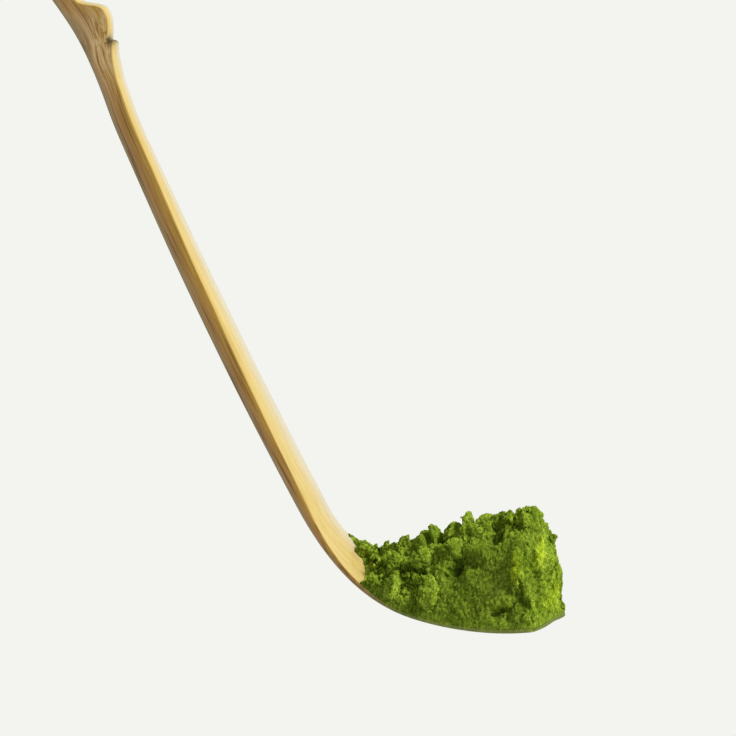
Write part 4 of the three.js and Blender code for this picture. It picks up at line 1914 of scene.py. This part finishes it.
@dataclass
class PowderClods:
    """Clods that stand on the mound, each a broken chunk sunk a little into it."""

    shape: MoundShape
    finish: Any
    rings: int = 34
    spokes: int = 56
    planes: int = 13
    sharpness: float = 15.0
    nearest_plane: float = 0.62
    spread: float = 1.3
    sink: float = 0.3
    solid_rim: float = 0.35
    shape_seed: int = 100
    lump: tuple[float, ...] = (1.1, 0.26, 0.5, 0.12, 0.16)
    lump_seed: int = 31
    lump_share: float = 0.65
    lump_gap: float = 0.5
    speck: tuple[float, ...] = (0.5, 0.22, 0.5, 0.15, 0.15)
    speck_seed: int = 61
    speck_share: float = 0.9
    speck_gap: float = 0.4
    grain: float = 0.08
    grain_size: float = 0.3
    grain_seed: int = 9
    clods: tuple[Clod, ...] = (
        Clod("tail", 0.035, 0.64, 2.4, 1.8, 0.45),
        Clod("foot", 0.094, 0.127, 1.4, 1.5, 0.7),
        Clod("heel", 0.223, 0.38, 1.7, 1.8, 0.9),
        Clod("flank", 0.243, 0.106, 1.5, 2.6, 0.9),
        Clod("slope", 0.285, 0.54, 2.0, 2.2, 0.9),
        Clod("front", 0.44, 0.075, 2.1, 3.0, 0.4),
        Clod("knob", 0.375, 0.52, 2.2, 2.0, 0.95),
        Clod("middle", 0.405, 0.265, 2.1, 2.0, 1.2),
        Clod("wedge", 0.44, 0.54, 1.5, 2.2, 1.25),
        Clod("ledge", 0.525, 0.50, 2.0, 1.8, 0.65),
        Clod("saddle", 0.553, 0.29, 2.2, 2.2, 0.8),
        Clod("column", 0.605, 0.50, 1.2, 1.6, 1.7),
        Clod("step", 0.685, 0.50, 2.6, 1.8, 0.3),
        Clod("dome", 0.75, 0.51, 2.8, 1.8, 0.3),
        Clod("crown", 0.934, 0.50, 3.8, 3.0, 0.85),
        Clod("shoulder", 0.974, 0.66, 0.8, 1.3, 0.2),
    )

    def build(self) -> list[Any]:
        """Build every clod.

        Returns:
            The pieces that stand for the clods.
        """
        directions, faces = ball_grid(self.rings, self.spokes)
        return [self._build_clod(i, clod, directions, faces) for i, clod in enumerate(self.clods)]

    def _build_clod(self, index: int, clod: Clod, directions: Array, faces: list[Array]) -> Any:
        """Build one clod.

        Args:
            index: Number of the clod, which seeds its shape.
            clod: Its place and sizes.
            directions: Unit directions of the points.
            faces: Faces between them.

        Returns:
            The dressed piece.
        """
        draw = np.random.default_rng(self.shape_seed + index)
        normals = unit(draw.normal(size=(self.planes, 3)))
        distances = draw.uniform(self.nearest_plane, 1.0, self.planes)
        radius = chunk_radius(directions, normals, distances, self.sharpness)
        seat = self.shape.rim - self.shape.seat - self.solid_rim
        axes = np.array([clod.length * self.spread, clod.breadth * self.spread, 0.0]) / 2.0
        sink = self.sink * min(clod.length, clod.breadth)
        axes[2] = clod.height + seat + sink
        spot, rows = self.shape.tangent_frame(clod.along, clod.across)
        centre = spot - sink * rows[2]
        points = centre + (directions * radius[:, None] * axes) @ rows
        outward = unit((directions / axes) @ rows)
        place = self.shape.noise_place(points)
        lump, lump_gap = Crumbling(*self.lump, self.lump_seed + index).relief(place)
        speck, speck_gap = Crumbling(*self.speck, self.speck_seed + index).relief(place)
        grain = self.grain * layered_noise(place, self.grain_size, self.grain_seed, 2)
        relief = self.lump_share * lump + self.speck_share * speck + grain
        points = points + outward * relief[:, None]
        # Painted shade in the clod's crevices.
        crevice_shade = np.maximum(self.lump_gap * lump_gap, self.speck_gap * speck_gap)
        marks = {"crevice_shade": np.clip(crevice_shade, 0.0, 1.0)}
        piece = make_piece("lump_" + clod.name, points, faces, marks)
        return dress(piece, self.finish, Body.POWDER, "clod_" + clod.name)


@dataclass
class LooseCrumbs:
    """Small crumbs that lie on the loose part of the mound, as one mesh of many chunks."""

    mound: PowderMound
    finish: Any
    count: int = 320
    smallest: float = 0.09
    largest: float = 0.32
    small_bias: float = 2.0
    rings: int = 5
    spokes: int = 9
    planes: int = 12
    nearest_plane: float = 0.7
    sharpness: float = 8.0
    sink: float = 0.25
    border: int = 8
    loose_power: int = 3
    seed: int = 77

    def build(self) -> Any:
        """Build the crumbs at random points of the mound's grid.

        Returns:
            The piece that holds them all.
        """
        draw = np.random.default_rng(self.seed)
        inside = slice(self.border, -1), slice(self.border, -self.border)
        chance = (self.mound.looseness**self.loose_power)[inside]
        chance = (chance / chance.sum()).reshape(-1)
        picks = draw.choice(chance.size, self.count, replace=False, p=chance)
        centres = self.mound.points[inside].reshape(-1, 3)[picks]
        outward = self.mound.normals[inside].reshape(-1, 3)[picks]
        directions, faces = ball_grid(self.rings, self.spokes)
        normals = unit(draw.normal(size=(self.count, self.planes, 3)))
        distances = draw.uniform(self.nearest_plane, 1.0, (self.count, self.planes))
        radius = chunk_radius(directions, normals, distances, self.sharpness)
        growth = draw.random(self.count) ** self.small_bias
        sizes = self.smallest * (self.largest / self.smallest) ** growth
        reach = radius * sizes[:, None]
        centres = centres - self.sink * sizes[:, None] * outward
        points = centres[:, None, :] + directions[None] * reach[..., None]
        shift = (np.arange(self.count) * len(directions))[:, None, None]
        blocks = [(block[None] + shift).reshape(-1, block.shape[1]) for block in faces]
        flat = points.reshape(-1, 3)
        piece = make_piece("loose_crumbs", flat, blocks, {"crevice_shade": np.zeros(len(flat))})
        return dress(piece, self.finish, Body.POWDER)


# The studio

@dataclass
class Studio:
    """Plain soft light, a pale floor well below the scoop, and the camera."""

    azimuth: float = 22.0
    elevation: float = 12.0
    behind_lip: float = 23.61
    above_lip: float = 30.3
    picture_width: float = 88.7
    camera_distance: float = 800.0
    nearest_seen: float = 0.01
    sensor: float = 36.0
    backdrop: Colour = (0.896, 0.905, 0.863)
    ambient: float = 0.28
    key_level: float = 0.87
    key_direction: Triple = (0.75, -0.17, 0.64)
    key_distance: float = 0.9
    key_size: float = 0.22
    floor_drop: float = 0.2
    floor_radius: float = 0.5
    floor_sides: int = 96
    floor_fade: float = 0.4
    floor_roughness: float = 0.9
    floor_colour: Colour = (0.90, 0.905, 0.87)

    def build(self) -> None:
        """Build the lights, the floor and the camera."""
        low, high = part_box("bamboo_scoop")
        aim = Vector((high.x - self.behind_lip * MM, 0.0, low.z + self.above_lip * MM))
        self._light(aim)
        self._world()
        self._floor(low.z - self.floor_drop)
        self._camera(aim)

    def _camera(self, aim: Vector) -> None:
        """Put a long lens at the photograph's angle, wide enough for the picture at the aim.

        Args:
            aim: Point in the middle of the picture.
        """
        turn, tilt = math.radians(self.azimuth), math.radians(self.elevation)
        level = math.cos(tilt)
        back = Vector((math.sin(turn) * level, -math.cos(turn) * level, math.sin(tilt)))
        data = bpy.data.cameras.new("view")
        data.sensor_width = self.sensor
        data.lens = self.sensor * self.camera_distance / self.picture_width
        data.clip_start = self.nearest_seen
        camera = bpy.data.objects.new("view", data)
        camera.location = aim + back * self.camera_distance * MM
        camera.rotation_euler = back.to_track_quat("Z", "Y").to_euler()
        bpy.context.scene.collection.objects.link(camera)
        bpy.context.scene.camera = camera

    def _light(self, aim: Vector) -> None:
        """Hang the key lamp. Its power gives the key level, in white, on a surface that faces it.

        Args:
            aim: Point that the lamp faces.
        """
        data = bpy.data.lights.new("key", "AREA")
        data.shape = "DISK"
        data.size = self.key_size
        data.energy = self.key_level * (math.pi * self.key_distance) ** 2
        lamp = bpy.data.objects.new("key", data)
        away = Vector(self.key_direction).normalized()
        lamp.location = aim + away * self.key_distance
        lamp.rotation_euler = away.to_track_quat("Z", "Y").to_euler()
        bpy.context.scene.collection.objects.link(lamp)

    def _world(self) -> None:
        """Even light all round, seen as the pale backdrop by the camera and by reflections."""
        world = bpy.data.worlds.new("studio")
        world.use_nodes = True
        graph = ShaderGraph(world.node_tree)
        rays = graph.add("LightPath")
        seen = graph.math("MAXIMUM", rays.outputs["Is Camera Ray"], rays.outputs["Is Glossy Ray"])
        seen = graph.math("MAXIMUM", seen, rays.outputs["Is Transmission Ray"])
        soft = graph.add("Background")
        soft.inputs["Color"].default_value = (*WHITE, 1.0)
        soft.inputs["Strength"].default_value = self.ambient
        pale = graph.add("Background")
        pale.inputs["Color"].default_value = (*self.backdrop, 1.0)
        both = graph.add("MixShader")
        graph.feed(both.inputs[0], seen)
        graph.feed(both.inputs[1], soft.outputs[0])
        graph.feed(both.inputs[2], pale.outputs[0])
        output = graph.add("OutputWorld")
        graph.feed(output.inputs["Surface"], both.outputs[0])
        bpy.context.scene.world = world

    def _floor(self, height: float) -> None:
        """Lay a round floor that fades into the backdrop at its edge.

        Args:
            height: Height of the floor, in metres.
        """
        turns = np.linspace(0.0, 2.0 * np.pi, self.floor_sides, endpoint=False)
        circle = np.stack([np.cos(turns), np.sin(turns), 0.0 * turns], axis=-1)
        rim = self.floor_radius / MM * circle
        rim[:, 2] = height / MM
        floor = make_piece("floor", rim, [np.arange(self.floor_sides)[None, :]], {})
        material, graph, shader = principled("pale_floor")
        shader.inputs["Base Color"].default_value = (*self.floor_colour, 1.0)
        shader.inputs["Roughness"].default_value = self.floor_roughness
        place = graph.scaled(graph.add("TexCoord").outputs["Object"], (1.0, 1.0, 0.0))
        reach = graph.add("VectorMath", operation="LENGTH")
        graph.feed(reach.inputs[0], place)
        inner = self.floor_radius * self.floor_fade
        fade = graph.ease(reach.outputs["Value"], self.floor_radius, inner)
        graph.feed(shader.inputs["Alpha"], fade)
        floor.data.materials.append(material)


def main() -> None:
    """Dress the frame piece by piece, and light it."""
    logging.basicConfig(level=logging.INFO, format="%(name)s: %(message)s")
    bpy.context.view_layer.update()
    strip = StripShape()
    BambooStrip(strip, BambooFinish()).build()
    powder = PowderFinish().material()
    heap = MoundShape(strip)
    mound = PowderMound(heap, powder)
    mound.build()
    PowderClods(heap, powder).build()
    LooseCrumbs(mound, powder).build()
    Studio().build()
    bpy.context.scene.view_settings.view_transform = "Standard"


if __name__ == "__main__":
    main()
